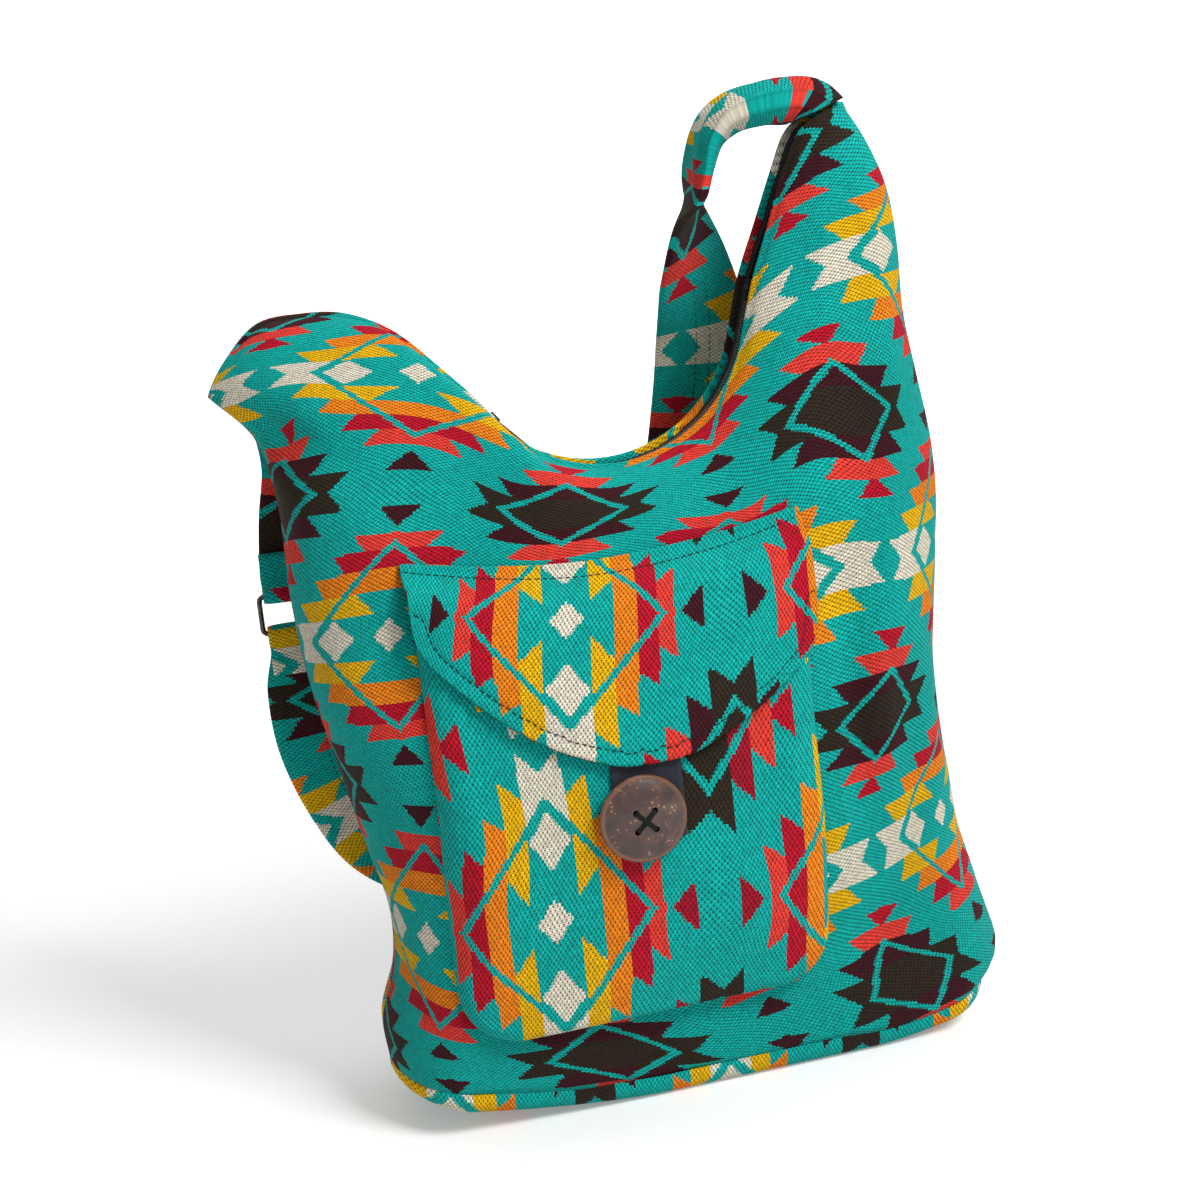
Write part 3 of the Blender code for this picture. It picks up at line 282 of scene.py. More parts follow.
def yarn_pits(tree, place):
    """1 on the yarns, lower along each row's edge and 0 in the pit between two yarns: the bump's height, and
    the painted shade of the pits and row grooves.
    """
    axes = add(tree, "ShaderNodeSeparateXYZ", place)
    rows = calc(tree, "DIVIDE", axes.outputs["X"], CROSSING_LONG)
    row = calc(tree, "FLOOR", rows)
    shift = calc(tree, "MULTIPLY", row, PIT_SHIFT)
    along = calc(tree, "DIVIDE", axes.outputs["Y"], 2 * CROSSING_SHORT)
    along = calc(tree, "ADD", along, shift)
    along = calc(tree, "FRACT", along)
    across = calc(tree, "FRACT", rows)
    spot = add(tree, "ShaderNodeCombineXYZ", across, along)
    spot = vector(tree, "ADD", spot, (-0.5, -0.5, 0))
    spot = vector(tree, "MULTIPLY", spot, (CROSSING_LONG, 2 * CROSSING_SHORT, 0))
    away = vector(tree, "LENGTH", spot).outputs["Value"]
    pit = remap(tree, away, 0.15, 0.62, 0.0, 1.0, soft=True)
    border = calc(tree, "SUBTRACT", across, 0.5)
    border = calc(tree, "ABSOLUTE", border)
    groove = remap(tree, border, 0.28, 0.5, 1.0, 0.62, soft=True)
    return calc(tree, "MULTIPLY", pit, groove)


def jacquard(name, dark):
    """Thick cloth of matt yarn: flat colours that step from yarn to yarn, with painted shade in a pit at each
    second crossing and along each row's edge, and a little sheen."""
    mat, tree, shader = new_material(name, 0.85, Sheen_Weight=0.02, Sheen_Roughness=0.5,
                                     Specular_IOR_Level=0.12)
    uv = add(tree, "ShaderNodeUVMap", uv_map="weave")
    place = vector(tree, "MULTIPLY", uv, (1 / MM, 1 / MM, 0))
    step = (CROSSING_LONG, CROSSING_SHORT, 1)
    crossings = vector(tree, "SNAP", place, step)
    folded, axes, ring, large, large_mask = motif(tree, crossings, (0, 0, 0), LARGE_BANDS,
                                                  LARGE_OUTLINE, dark)
    heart = diamond_heart(tree, folded, axes, ring)
    large_mask = calc(tree, "SUBTRACT", large_mask, heart, use_clamp=True)
    shift = (REPEAT_LONG / MM / 2, REPEAT_SHORT / MM / 2, 0)
    small, small_mask = motif(tree, crossings, shift, SMALL_BANDS, SMALL_OUTLINE, dark)[3:]
    colour = add(tree, "ShaderNodeMix", large_mask, data_type="RGBA")
    colour.inputs[6].default_value = TURQUOISE
    tree.links.new(large.outputs[0], colour.inputs[7])
    both = add(tree, "ShaderNodeMix", small_mask, data_type="RGBA")
    tree.links.new(colour.outputs[2], both.inputs[6])
    tree.links.new(small.outputs[0], both.inputs[7])

    pits = yarn_pits(tree, place)
    yarn = add(tree, "ShaderNodeTexWhiteNoise", crossings, noise_dimensions="2D")
    yarn = remap(tree, yarn.outputs["Value"], 0.0, 1.0, 0.8, 1.12)
    cloudy = noise(tree, uv, 14)
    cloudy = remap(tree, cloudy, 0.3, 0.7, 0.93, 1.05)
    # Painted shade: the pits and row grooves darken the colour to as little as 0.12 of it and the yarn tops
    # lift it a little; the yarn and cloud noise are the yarns' own uneven tone.
    shade = remap(tree, pits, 0.0, 1.0, 0.12, 1.06)
    shade = calc(tree, "MULTIPLY", shade, yarn)
    shade = calc(tree, "MULTIPLY", shade, cloudy)
    shaded = vector(tree, "SCALE", both.outputs[2], None, None, shade)
    tree.links.new(shaded.outputs[0], shader.inputs["Base Color"])

    fuzz = noise(tree, place, 1.6)
    fuzz = calc(tree, "MULTIPLY", fuzz, 0.35)
    height = calc(tree, "ADD", pits, fuzz)
    relief(tree, shader, height, 0.7 * MM)
    return mat


def plain_weave(name, hex_rgb, thread, roughness=0.85):
    """Plain woven cotton in one colour: a fine over-and-under weave, painted darker between the threads as
    shade and lighter where they cross over as highlight.
    """
    mat, tree, shader = new_material(name, roughness, Specular_IOR_Level=0.25)
    place = add(tree, "ShaderNodeTexCoord").outputs["Object"]
    waves = []
    for axis in ("X", "Z"):
        wave = add(tree, "ShaderNodeTexWave", place, wave_type="BANDS", bands_direction=axis)
        wave.inputs["Scale"].default_value = 0.314 / thread
        waves.append(wave.outputs["Fac"])
    over = calc(tree, "MULTIPLY", *waves)
    # Painted shade and highlight: the colour runs from 0.55 of it between the threads to 1.15 of it on their
    # crossings.
    colour = remap(tree, over, 0.0, 1.0, 0.55, 1.15)
    tint = vector(tree, "SCALE", linear(hex_rgb)[:3], None, None, colour)
    tree.links.new(tint.outputs[0], shader.inputs["Base Color"])
    relief(tree, shader, over, 0.2 * MM)
    return mat


def coconut_shell(middle):
    """Polished coconut shell: dark brown with small tan flecks, lighter at its turned rim."""
    mat, tree, shader = new_material("coconut_shell_polished", 0.32, Coat_Weight=0.3, Coat_Roughness=0.15)
    place = add(tree, "ShaderNodeTexCoord").outputs["Object"]
    flecks = add(tree, "ShaderNodeTexVoronoi", place)
    flecks.inputs["Scale"].default_value = 420
    fleck = remap(tree, flecks.outputs["Distance"], 0.12, 0.3, 1.0, 0.0)
    clouds = noise(tree, place, 160, detail=6)
    base = add(tree, "ShaderNodeValToRGB", clouds,
               stops=[(0.3, linear("24110C")), (0.55, linear("41241B")), (0.75, linear("603827"))])
    spots = remap(tree, clouds, 0.5, 0.6, 0.0, 0.75)
    fleck = calc(tree, "MULTIPLY", fleck, spots)
    mix = add(tree, "ShaderNodeMix", fleck, data_type="RGBA")
    tree.links.new(base.outputs[0], mix.inputs[6])
    mix.inputs[7].default_value = linear("C99C6C")
    away = vector(tree, "DISTANCE", place, tuple(middle)).outputs["Value"]
    lip = remap(tree, away, 20.6 * MM, 21.9 * MM, 0.0, 0.55, soft=True)
    turned = add(tree, "ShaderNodeMix", lip, data_type="RGBA")
    tree.links.new(mix.outputs[2], turned.inputs[6])
    turned.inputs[7].default_value = linear("7C4A2B")
    tree.links.new(turned.outputs[2], shader.inputs["Base Color"])
    relief(tree, shader, clouds, 0.1 * MM)
    return mat


def bronze_wire():
    """Zinc wire plated dark bronze: metal with a brushed plating that is a little uneven."""
    mat, tree, shader = new_material("dark_bronze_plating", 0.38, Metallic=1.0)
    place = add(tree, "ShaderNodeTexCoord").outputs["Object"]
    uneven = noise(tree, place, 300)
    colour = add(tree, "ShaderNodeValToRGB", uneven, stops=[(0.3, linear("2E2A27")), (0.7, linear("544A42"))])
    tree.links.new(colour.outputs[0], shader.inputs["Base Color"])
    rough = remap(tree, uneven, 0.3, 0.7, 0.28, 0.5)
    tree.links.new(rough.outputs[0], shader.inputs["Roughness"])
    return mat


def nylon():
    """Moulded black nylon: smooth and slightly glossy."""
    mat, tree, shader = new_material("nylon_coil_black", 0.35)
    place = add(tree, "ShaderNodeTexCoord").outputs["Object"]
    uneven = noise(tree, place, 900)
    colour = add(tree, "ShaderNodeValToRGB", uneven, stops=[(0.3, linear("0F0F11")), (0.7, linear("232326"))])
    tree.links.new(colour.outputs[0], shader.inputs["Base Color"])
    return mat


# Where the pattern shows on the photograph: pixel (x, y), then the place in the pattern in half repeats along
# its long and its short side. A large diamond's middle is at two even numbers, a small one's at two odd ones.
FRONT_MARKS = (
    (417, 374, 0, 2), (343.5, 373, -0.437, 2), (311, 372, -0.674, 2), (271, 367, -0.971, 2.144),
    (266, 389, -0.971, 1.856), (297, 354, -0.822, 2.303), (290, 397, -0.822, 1.697),
    (321, 343, -0.628, 2.435), (317, 412, -0.628, 1.565), (348, 326, -0.465, 2.568),
    (340, 432, -0.465, 1.432), (359, 450, -0.308, 1.305), (413, 437, 0, 1.386), (463, 460, 0.308, 1.305),
    (385, 469, -0.151, 1.101), (429, 469, 0.151, 1.101), (395, 527, 0, 0.747), (377, 511, -0.151, 0.899),
    (421, 508, 0.151, 0.899), (393.5, 542, 0, 0.614), (351, 536, -0.308, 0.695), (444, 529, 0.308, 0.695),
    (332, 558, -0.465, 0.568), (467, 552, 0.465, 0.568), (308, 495.5, -0.651, 1), (274, 460, -1, 1.291),
    (281.5, 553, -1, 0.709), (347, 471, -0.419, 1.143), (342, 511, -0.419, 0.857), (328, 494.5, -0.558, 1),
    (326, 455, -0.581, 1.29), (321, 538, -0.581, 0.71), (305, 437, -0.733, 1.435),
    (305, 561, -0.733, 0.565), (269.5, 332, -1, 2.709), (312, 333, -0.733, 2.565),
    (250, 371.5, -1.029, 2.144), (255, 396, -1.029, 1.856), (234, 367, -1.178, 2.303),
    (264, 417, -1.178, 1.697), (274, 440, -1.372, 1.565), (387, 636, 0, 0), (334, 642, -0.437, 0),
    (313, 643, -0.674, 0), (300, 605, -0.822, 0.303), (314, 684, -0.822, -0.303), (313, 583, -0.628, 0.435),
    (328, 704, -0.628, -0.435), (346, 725.5, -0.465, -0.568), (367, 745, -0.308, -0.695),
    (399, 731, 0, -0.614), (390, 765, -0.151, -0.899), (425, 765, 0.151, -0.899), (403, 746, 0, -0.747),
    (403, 809, -0.151, -1.101), (433, 810, 0.151, -1.101), (421, 830, 0, -1.253),
    (393, 830, -0.308, -1.305), (382.5, 847, -0.465, -1.432), (365, 767, -0.419, -0.857),
    (377, 805.5, -0.419, -1.143), (374, 824, -0.581, -1.29), (344, 748, -0.581, -0.71),
    (422.5, 845, 0, -1.386), (373, 865, -0.628, -1.565), (415, 915, -0.105, -1.856), (427, 940, 0, -2),
    (419, 956, -0.105, -2.144), (439, 1029, 0, -2.614), (419, 1026, -0.308, -2.695),
    (479.5, 1045, 0.308, -2.695), (427, 1056, -0.151, -2.899), (462, 1060, 0.151, -2.899),
    (439, 1042, 0, -2.747), (565, 485, 1, 1.291), (559, 545, 1, 0.709), (499, 510, 0.651, 1),
    (622, 509, 1.349, 1), (659, 485, 1.581, 1.143), (658, 505, 1.581, 0.857), (471.5, 480, 0.419, 1.143),
    (463, 510, 0.419, 0.857), (520, 470, 0.733, 1.435), (613, 479, 1.267, 1.435), (503, 559, 0.733, 0.565),
    (610, 547, 1.267, 0.565), (727, 521, 2, 0.614), (671.5, 517, 1.692, 0.695), (765, 494.5, 2.308, 0.695),
    (650, 540, 1.535, 0.568), (788, 497, 2.465, 0.568), (698, 501, 1.849, 0.899), (744, 491, 2.151, 0.899),
    (712, 446, 2, 1.386), (671, 470, 1.692, 1.305), (739, 424, 2.308, 1.305), (646, 468, 1.535, 1.432),
    (750, 397, 2.465, 1.432), (699, 475, 1.849, 1.101), (734.5, 457, 2.151, 1.101), (835, 98, 3.581, 3.143),
    (856, 133, 3.581, 2.857), (827, 126, 3.442, 3), (845, 168, 3.419, 2.71), (831, 192, 3.267, 2.565),
    (807.5, 218, 3.14, 2.43), (771, 247, 2.86, 2.43), (802, 259, 3.029, 2.144), (807, 294, 3.029, 1.856),
    (824, 267, 3.14, 2), (848, 259, 3.326, 2), (822, 228, 3.178, 2.303), (845, 202, 3.372, 2.435),
    (867, 175, 3.535, 2.568), (841, 304, 3.178, 1.697), (867, 322, 3.372, 1.565), (775, 300, 2.86, 2),
    (831, 361, 3, 1.291), (787, 428, 2.651, 1), (867, 463, 3, 0.709), (891, 407, 3.349, 1),
    (775, 374, 2.733, 1.435), (868, 346, 3.267, 1.435), (887, 366, 3.419, 1.29), (762, 403, 2.581, 1.29),
    (900, 385, 3.581, 1.143), (904, 429, 3.581, 0.857), (902, 452, 3.419, 0.71), (790, 471, 2.581, 0.71),
    (823, 482, 2.733, 0.565), (899, 473, 3.267, 0.565), (858, 499, 2.86, 0.43), (892, 495, 3.14, 0.43),
    (900, 517, 3.178, 0.303), (911.5, 552, 3.326, 0), (900.5, 561, 3.14, 0), (868.5, 563, 2.86, 0),
    (855, 522, 2.822, 0.303), (864, 611, 2.822, -0.303), (908, 603, 3.178, -0.303), (873, 633, 2.86, -0.43),
    (904, 628, 3.14, -0.43), (851, 661, 2.733, -0.565), (911, 647, 3.267, -0.565), (893, 667.5, 3, -0.709),
    (840, 729.5, 2.651, -1), (875.5, 764, 3, -1.291), (909, 703, 3.349, -1), (907, 741.5, 3.419, -1.29),
    (895.5, 766.5, 3.267, -1.435), (839, 788, 2.733, -1.435), (855, 802, 2.86, -1.57),
    (879, 790, 3.14, -1.57), (884, 809, 3.178, -1.697), (875, 835, 3.029, -1.856), (887, 850, 3.14, -2),
    (884, 871, 3.029, -2.144), (900, 839, 3.326, -2), (914, 829, 3.563, -2), (939, 814, 4, -2),
    (902, 882, 3.178, -2.303), (918, 891, 3.372, -2.435), (932, 904.5, 3.535, -2.568),
    (948, 915, 3.692, -2.695), (963, 888, 4, -2.614), (848, 825, 2.822, -1.697),
    (859, 903.5, 2.822, -2.303), (838, 929, 2.628, -2.435), (844.5, 946, 2.733, -2.565),
    (910, 917, 3.267, -2.565), (835, 971, 2.581, -2.71), (930, 927, 3.419, -2.71), (881, 942, 3, -2.709),
    (832, 993, 2.419, -2.857), (956, 933.5, 3.581, -2.857), (983, 963, 3.581, -3.143),
    (875, 1001, 2.651, -3), (951, 958, 3.349, -3), (934, 1010, 3, -3.291), (850, 1032, 2.419, -3.143),
    (980, 992, 3.419, -3.29), (675, 1053, 1.349, -3), (710.5, 1036.5, 1.581, -2.857),
    (723, 1060, 1.581, -3.143), (628, 1079, 1, -3.291), (764, 1056, 1.849, -3.101),
    (809, 1047, 2.151, -3.101), (755, 1021, 1.849, -2.899), (793, 1006, 2.151, -2.899),
)
FLAP_MARKS = (
    (565, 622.6, 0, 0), (464, 619, 0, -0.614), (569, 728, -0.674, 0), (663, 614.5, 0, 0.614),
    (566.5, 691.5, -0.437, 0), (449, 664, -0.308, -0.695), (456.5, 573, 0.308, -0.695),
    (476, 569, 0.465, -0.568), (474, 691, -0.465, -0.568), (500, 718, -0.628, -0.435),
    (620, 752, -0.822, 0.303), (639, 720, -0.628, 0.435), (660, 687.5, -0.465, 0.568),
    (649, 555, 0.465, 0.568), (432.5, 595, 0.151, -0.899), (428, 636, -0.151, -0.899),
    (543, 605, 0.105, -0.146), (542, 643, -0.105, -0.146), (588, 600.6, 0.105, 0.146),
    (588, 637, -0.105, 0.146), (675, 566.5, 0.308, 0.695), (680, 659, -0.308, 0.695),
    (699, 586, 0.151, 0.899), (702, 631, -0.151, 0.899), (742, 573, 0.151, 1.101),
    (751, 618, -0.151, 1.101), (767, 593, 0, 1.253), (760.5, 543, 0.308, 1.305), (776, 644, -0.308, 1.305),
    (799, 661, -0.465, 1.432), (707, 667, -0.419, 0.857), (751, 657, -0.419, 1.143), (732, 683, -0.558, 1),
    (685, 697, -0.581, 0.71), (778, 680, -0.581, 1.29), (665, 727, -0.733, 0.565), (735, 705, -0.651, 1),
)
POCKET_MARKS = (
    (555, 926, 0, 0), (543, 803, 0.674, 0), (560, 1035, -0.674, 0), (464, 935, 0, -0.614),
    (654, 909.5, 0, 0.614), (549, 843, 0.437, 0), (563, 999, -0.437, 0), (537, 775, 0.86, 0),
    (495, 785, 0.822, -0.303), (584, 774, 0.822, 0.303), (481, 821, 0.628, -0.435),
    (462, 851, 0.465, -0.568), (475, 1017, -0.465, -0.568), (446, 880, 0.308, -0.695),
    (457, 994, -0.308, -0.695), (501, 1031, -0.628, -0.435), (629, 1018, -0.628, 0.435),
    (652, 988, -0.465, 0.568), (529, 909, 0.105, -0.146), (577, 898, 0.105, 0.146),
    (534, 951, -0.105, -0.146), (579.5, 938, -0.105, 0.146), (450, 807, 0.733, -0.565),
    (469, 775, 0.86, -0.43), (672.5, 964, -0.308, 0.695), (692, 883, 0.151, 0.899),
    (697, 934.5, -0.151, 0.899), (741, 879, 0.151, 1.101), (744, 928, -0.151, 1.101), (764, 900, 0, 1.253),
    (760, 846, 0.308, 1.305), (764, 953, -0.308, 1.305), (779, 815, 0.465, 1.432),
    (786, 975, -0.465, 1.432), (799, 785, 0.628, 1.565), (811, 991, -0.628, 1.565),
    (818, 750, 0.822, 1.697), (708, 789, 0.651, 1), (736, 835, 0.419, 1.143), (709, 814, 0.558, 1),
    (756, 802.5, 0.581, 1.29), (774, 771.5, 0.733, 1.435), (796, 739, 0.86, 1.57),
    (700, 975, -0.419, 0.857), (743, 969, -0.419, 1.143), (722, 991, -0.558, 1), (676, 1001, -0.581, 0.71),
    (764, 988, -0.581, 1.29), (654, 1027.5, -0.733, 0.565),
)


# Curves and the body's surface

def smooth_curve(points, per_span=10):
    """Dense points on a Catmull-Rom curve through the given points."""
    p = np.array(points, float)
    p = np.vstack((2 * p[0] - p[1], p, 2 * p[-1] - p[-2]))
    t = (np.arange(per_span) / per_span)[:, None]
    spans = [0.5 * (2 * b + (c - a) * t + (2 * a - 5 * b + 4 * c - d) * t ** 2
                    + (3 * b - a - 3 * c + d) * t ** 3)
             for a, b, c, d in zip(p, p[1:], p[2:], p[3:])]
    return np.vstack(spans + [p[-2]])


def units(ways):
    """The same ways, each one unit long."""
    return ways / np.linalg.norm(ways, axis=-1)[..., None]


def distances(line):
    """How far along a line of points each of them lies."""
    return np.concatenate(([0.0], np.cumsum(np.linalg.norm(np.diff(line, axis=0), axis=1))))


def read_along(where, lengths, table):
    """A table's rows read at some distances along their line."""
    return np.stack([np.interp(where, lengths, column) for column in table.T], axis=-1)


def closed_ends(rings, line):
    """Rings of points with a ring drawn together on the line at each end."""
    first, last = (np.broadcast_to(line[k], rings[:1].shape) for k in (0, -1))
    return np.concatenate((first, rings, last))


class Track:
    """A dense curve read by its share of length, over its first two coordinates."""

    def __init__(self, points):
        self.points = np.array(points, float)
        self.lengths = distances(self.points[:, :2])
        self.total = self.lengths[-1]

    def at(self, share):
        return read_along(np.asarray(share) * self.total, self.lengths, self.points)


def rim_track():
    """The mouth rim from the left horn's crest to the right horn's top: x, z and half gap."""
    angles = np.linspace(ARC_START, ARC_END, ARC_STEPS + 1)
    arc = [(ARC_CENTRE[0] / MM + ARC_RADIUS / MM * math.cos(a),
            ARC_CENTRE[1] / MM + ARC_RADIUS / MM * math.sin(a), RIM_HALF_GAP) for a in angles]
    dense = smooth_curve(RIM_LEFT + tuple(arc) + RIM_RIGHT, RIM_SAMPLES) * MM
    exact = np.linspace(ARC_START, ARC_END, ARC_LAST - ARC_FIRST + 1)
    dense[ARC_FIRST:ARC_LAST + 1, 0] = ARC_CENTRE[0] + ARC_RADIUS * np.cos(exact)
    dense[ARC_FIRST:ARC_LAST + 1, 1] = ARC_CENTRE[1] + ARC_RADIUS * np.sin(exact)
    return Track(dense)


LEFT = Track(smooth_curve(LEFT_SEAM) * MM)
RIGHT = Track(smooth_curve(RIGHT_SEAM) * MM)
RIM = rim_track()


def knots(table, value):
    """A straight-line reading of a table of millimetre pairs, in metres."""
    table = np.array(table) * MM
    return np.interp(value, table[:, 0], table[:, 1])


def swell(share):
    """A quarter-ellipse rise from 0 at a seam to 1."""
    return np.sqrt(np.clip(1 - (1 - np.minimum(share, 1)) ** 2, 0, None))


def spread(count, crowding=0.55):
    """Shares from 0 to 1, somewhat closer together at both ends."""
    k = np.arange(count + 1) / count
    return crowding * (0.5 - 0.5 * np.cos(math.pi * k)) + (1 - crowding) * k


def foot_height(x):
    """Height of the base cloth above the floor: flat in the middle, lifted at the ends."""
    ends = np.where(x < BASE_MIDDLE_X, LEFT.at(0)[0], RIGHT.at(0)[0])
    heights = np.where(x < BASE_MIDDLE_X, LEFT.at(0)[1], RIGHT.at(0)[1])
    reach = np.abs(ends - BASE_MIDDLE_X) - BASE_FLAT_HALF
    out = np.clip(np.abs(x - BASE_MIDDLE_X) - BASE_FLAT_HALF, 0, None) / reach
    return (heights - BASE_TURN_UP) * out ** 1.6


def body_point(u, v):
    """A point of the panel's outline patch in the seam plane: u left to right, v bottom to top."""
    u, v = np.broadcast_arrays(u, v)
    x = LEFT.at(0)[0] * (1 - u) + RIGHT.at(0)[0] * u
    bottom = np.stack((x, foot_height(x) + BASE_TURN_UP), axis=-1)
    top = RIM.at(u)[..., :2]
    left, right = LEFT.at(v), RIGHT.at(v)
    u, v = u[..., None], v[..., None]
    corners = ((1 - u) * (1 - v) * LEFT.at(0) + u * (1 - v) * RIGHT.at(0)
               + (1 - u) * v * LEFT.at(1) + u * v * RIGHT.at(1))
    return (1 - v) * bottom + v * top + (1 - u) * left + u * right - corners


def body_depth(u, v):
    """Half depth of the cloth's outer face at a patch point."""
    here = body_point(u, v)
    z = here[..., 1]
    rounding = knots(SIDE_ROUNDING, z)
    to_left = np.linalg.norm(here - LEFT.at(v), axis=-1)
    to_right = np.linalg.norm(here - RIGHT.at(v), axis=-1)
    rim = RIM.at(u)
    gap = rim[..., 2] + 2 * HEM_RADIUS
    rise = swell(np.linalg.norm(here - rim[..., :2], axis=-1) / knots(RIM_ROUNDING, z))
    depth = gap + np.clip(knots(HALF_DEPTH, z) - gap, 0, None) * rise
    return depth * swell(to_left / rounding) * swell(to_right / rounding)


# Folds of the slack cloth on the front and back: from (x, z) to (x, z), half width and height, millimetres
FRONT_FOLDS = (
    ((-226, 408), (-176, 372), 13, -7),
    ((-206, 400), (-160, 396), 16, 4),
    ((-178, 372), (-150, 300), 18, 3.5),
    ((120, 330), (96, 210), 13, 4),
    ((82, 300), (84, 150), 11, -3),
    ((134, 250), (138, 130), 12, 3.5),
    ((112, 230), (118, 110), 10, -3),
    ((102, 500), (92, 420), 9, 2.5),
    ((128, 470), (132, 350), 10, 2.5),
    ((-172, 130), (-150, 60), 12, 3),
    ((80, 60), (165, 92), 14, 3),
    ((-120, 420), (-60, 340), 14, 2.5),
)
BACK_FOLDS = (
    ((-190, 380), (-120, 300), 18, 4),
    ((100, 420), (120, 300), 14, 3),
    ((-60, 320), (-40, 180), 22, -4),
    ((60, 240), (90, 90), 18, 4),
    ((-140, 200), (-150, 80), 16, 3),
)


def folds(table, x, z):
    """Height of the folds at places on a panel."""
    total = np.zeros_like(x)
    for (x0, z0), (x1, z1), half, height in table:
        a = np.array((x0, z0)) * MM
        way = np.array((x1, z1)) * MM - a
        along = np.clip(((x - a[0]) * way[0] + (z - a[1]) * way[1]) / (way @ way), 0, 1)
        away = np.hypot(x - a[0] - along * way[0], z - a[1] - along * way[1])
        total += height * MM * np.exp(-(away / (half * MM)) ** 2) * np.sin(math.pi * (0.15 + 0.7 * along))
    return total


def slack(x, z, seed):
    """Soft unevenness of cloth that nothing holds taut."""
    waves = ((31, 17, 1.0), (-19, 43, 0.7), (57, -29, 0.5), (71, 63, 0.35))
    total = sum(size * np.sin(a * x + b * z + seed * (k + 1.7)) for k, (a, b, size) in enumerate(waves))
    return total * 0.8 * MM


def panel_points(side, columns, rows, table):
    """The panel's outer face, bottom to top, ending in the rolled hem along the mouth."""
    v = 1 - (1 - np.arange(rows + 1) / rows) ** 1.35
    uu, vv = np.meshgrid(spread(columns), v)
    xz = body_point(uu, vv)
    depth = body_depth(uu, vv)
    x, z = xz[..., 0], xz[..., 1]
    edge = np.minimum(1, depth / (25 * MM))
    above_seam = (z - foot_height(x) - BASE_TURN_UP) / (3 * MM)
    seam = 1.6 * MM * np.exp(-above_seam ** 2)
    depth = depth + edge * (folds(table, x, z) + slack(x, z, 1.3 * side) - seam)
    depth = np.maximum(depth, 0.3 * MM)
    points = np.stack((x, side * depth, z), axis=-1)
    return np.concatenate((points, hem_rows(points[-1], side)))


def hem_rows(rim, side):
    """Rows that roll the cloth over the rim and down inside it."""
    ways = np.gradient(rim, axis=0)
    down = np.stack((ways[:, 2], np.zeros(len(rim)), -ways[:, 0]), axis=1)
    down = units(down)
    inward = np.array((0, -side, 0))
    rows = []
    for angle in np.radians((30, 60, 90, 120, 150, 180)):
        step = np.minimum(HEM_RADIUS, np.abs(rim[:, 1]) * 0.45)[:, None]
        rows.append(rim + inward * step * (1 - math.cos(angle)) - down * step * math.sin(angle))
    for depth in (0.4, 1.0):
        rows.append(rows[-1] + down * HEM_DEPTH * depth * 0.6)
    return np.stack(rows)


def laid_flat(points, middle):
    """Each point's place on the cloth laid flat: across from the middle column, up from the lowest row."""
    across = np.linalg.norm(np.diff(points[..., :2], axis=1), axis=2)
    s = np.concatenate((np.zeros((len(points), 1)), np.cumsum(across, axis=1)), axis=1)
    s += (points[:, middle, 0] - s[:, middle])[:, None]
    up = np.linalg.norm(np.diff(points[..., 1:], axis=0), axis=2)
    t = np.concatenate((np.zeros((1, points.shape[1])), np.cumsum(up, axis=0)))
    return np.stack((s, t + points[0, :, 2]), axis=-1)


def moved_weave(place, centre):
    """Moves a place so that a large diamond's middle lies at centre."""
    return place - np.array(centre) * MM


def camera_axes():
    """Where the camera stands, and the ways that are right, up and back in its picture."""
    a, e, r = (math.radians(d) for d in (VIEW_AZIMUTH, VIEW_ELEVATION, VIEW_ROLL))
    back = Vector((math.sin(a) * math.cos(e), -math.cos(a) * math.cos(e), math.sin(e)))
    right = (-back).cross(Vector((0, 0, 1))).normalized()
    up = right.cross(-back)
    across = right * math.cos(r) - up * math.sin(r)
    over = right * math.sin(r) + up * math.cos(r)
    return Vector(VIEW_TARGET) + back * VIEW_DISTANCE, across, over, back


def thin_plate(known, wanted, places):
    """A springy sheet through the wanted values at the known places, a little eased, read at all places."""
    def bend(a, b):
        square = ((a[:, None] - b[None]) ** 2).sum(axis=2) / BEND_UNIT ** 2
        return 0.5 * square * np.log(square + 1e-12)
    count = len(known)
    plane = np.column_stack((np.ones(count), known))
    left = np.block([[bend(known, known) + BEND_EASE * np.eye(count), plane], [plane.T, np.zeros((3, 3))]])
    solved = np.linalg.solve(left, np.vstack((wanted, np.zeros((3, 2)))))
    spots = places.reshape(-1, 2)
    out = bend(spots, known) @ solved[:count] + np.column_stack((np.ones(len(spots)), spots)) @ solved[count:]
    return out.reshape(places.shape)


def quad_indices(rows, columns):
    """Corner numbers of the quads of a grid of points."""
    index = np.arange(rows * columns).reshape(rows, columns)
    corners = (index[:-1, :-1], index[:-1, 1:], index[1:, 1:], index[1:, :-1])
    return np.stack(corners, axis=-1).reshape(-1, 4)


def fitted_weave(points, flat, marks):
    """Spreads the pattern over a piece so that each mark, a pixel of the photograph, meets its place."""
    quads = quad_indices(*points.shape[:2])
    spots, laid = points.reshape(-1, 3), flat.reshape(-1, 2)
    tree = BVHTree.FromPolygons(spots.tolist(), quads.tolist())
    place, right, up, back = camera_axes()
    known, wanted = [], []
    for px, py, along, across in marks:
        way = (right * (px - PHOTO_SIZE / 2) - up * (py - PHOTO_SIZE / 2)) / FOCAL - back
        hit, _normal, face, _far = tree.ray_cast(place, way.normalized())
        if hit is None:
            continue
        corners = quads[face]
        near = 1 / (np.linalg.norm(spots[corners] - np.array(hit), axis=1) + 0.1 * MM) ** 2
        known.append(near @ laid[corners] / near.sum())
        wanted.append((along * REPEAT_LONG / 2, across * REPEAT_SHORT / 2))
    return thin_plate(np.array(known), np.array(wanted), flat)


def placed(name, mesh, mat):
    """An object in the scene from a smooth mesh and its material."""
    mesh.materials.append(mat)
    mesh.shade_smooth()
    obj = bpy.data.objects.new(name, mesh)
    bpy.context.collection.objects.link(obj)
    return obj


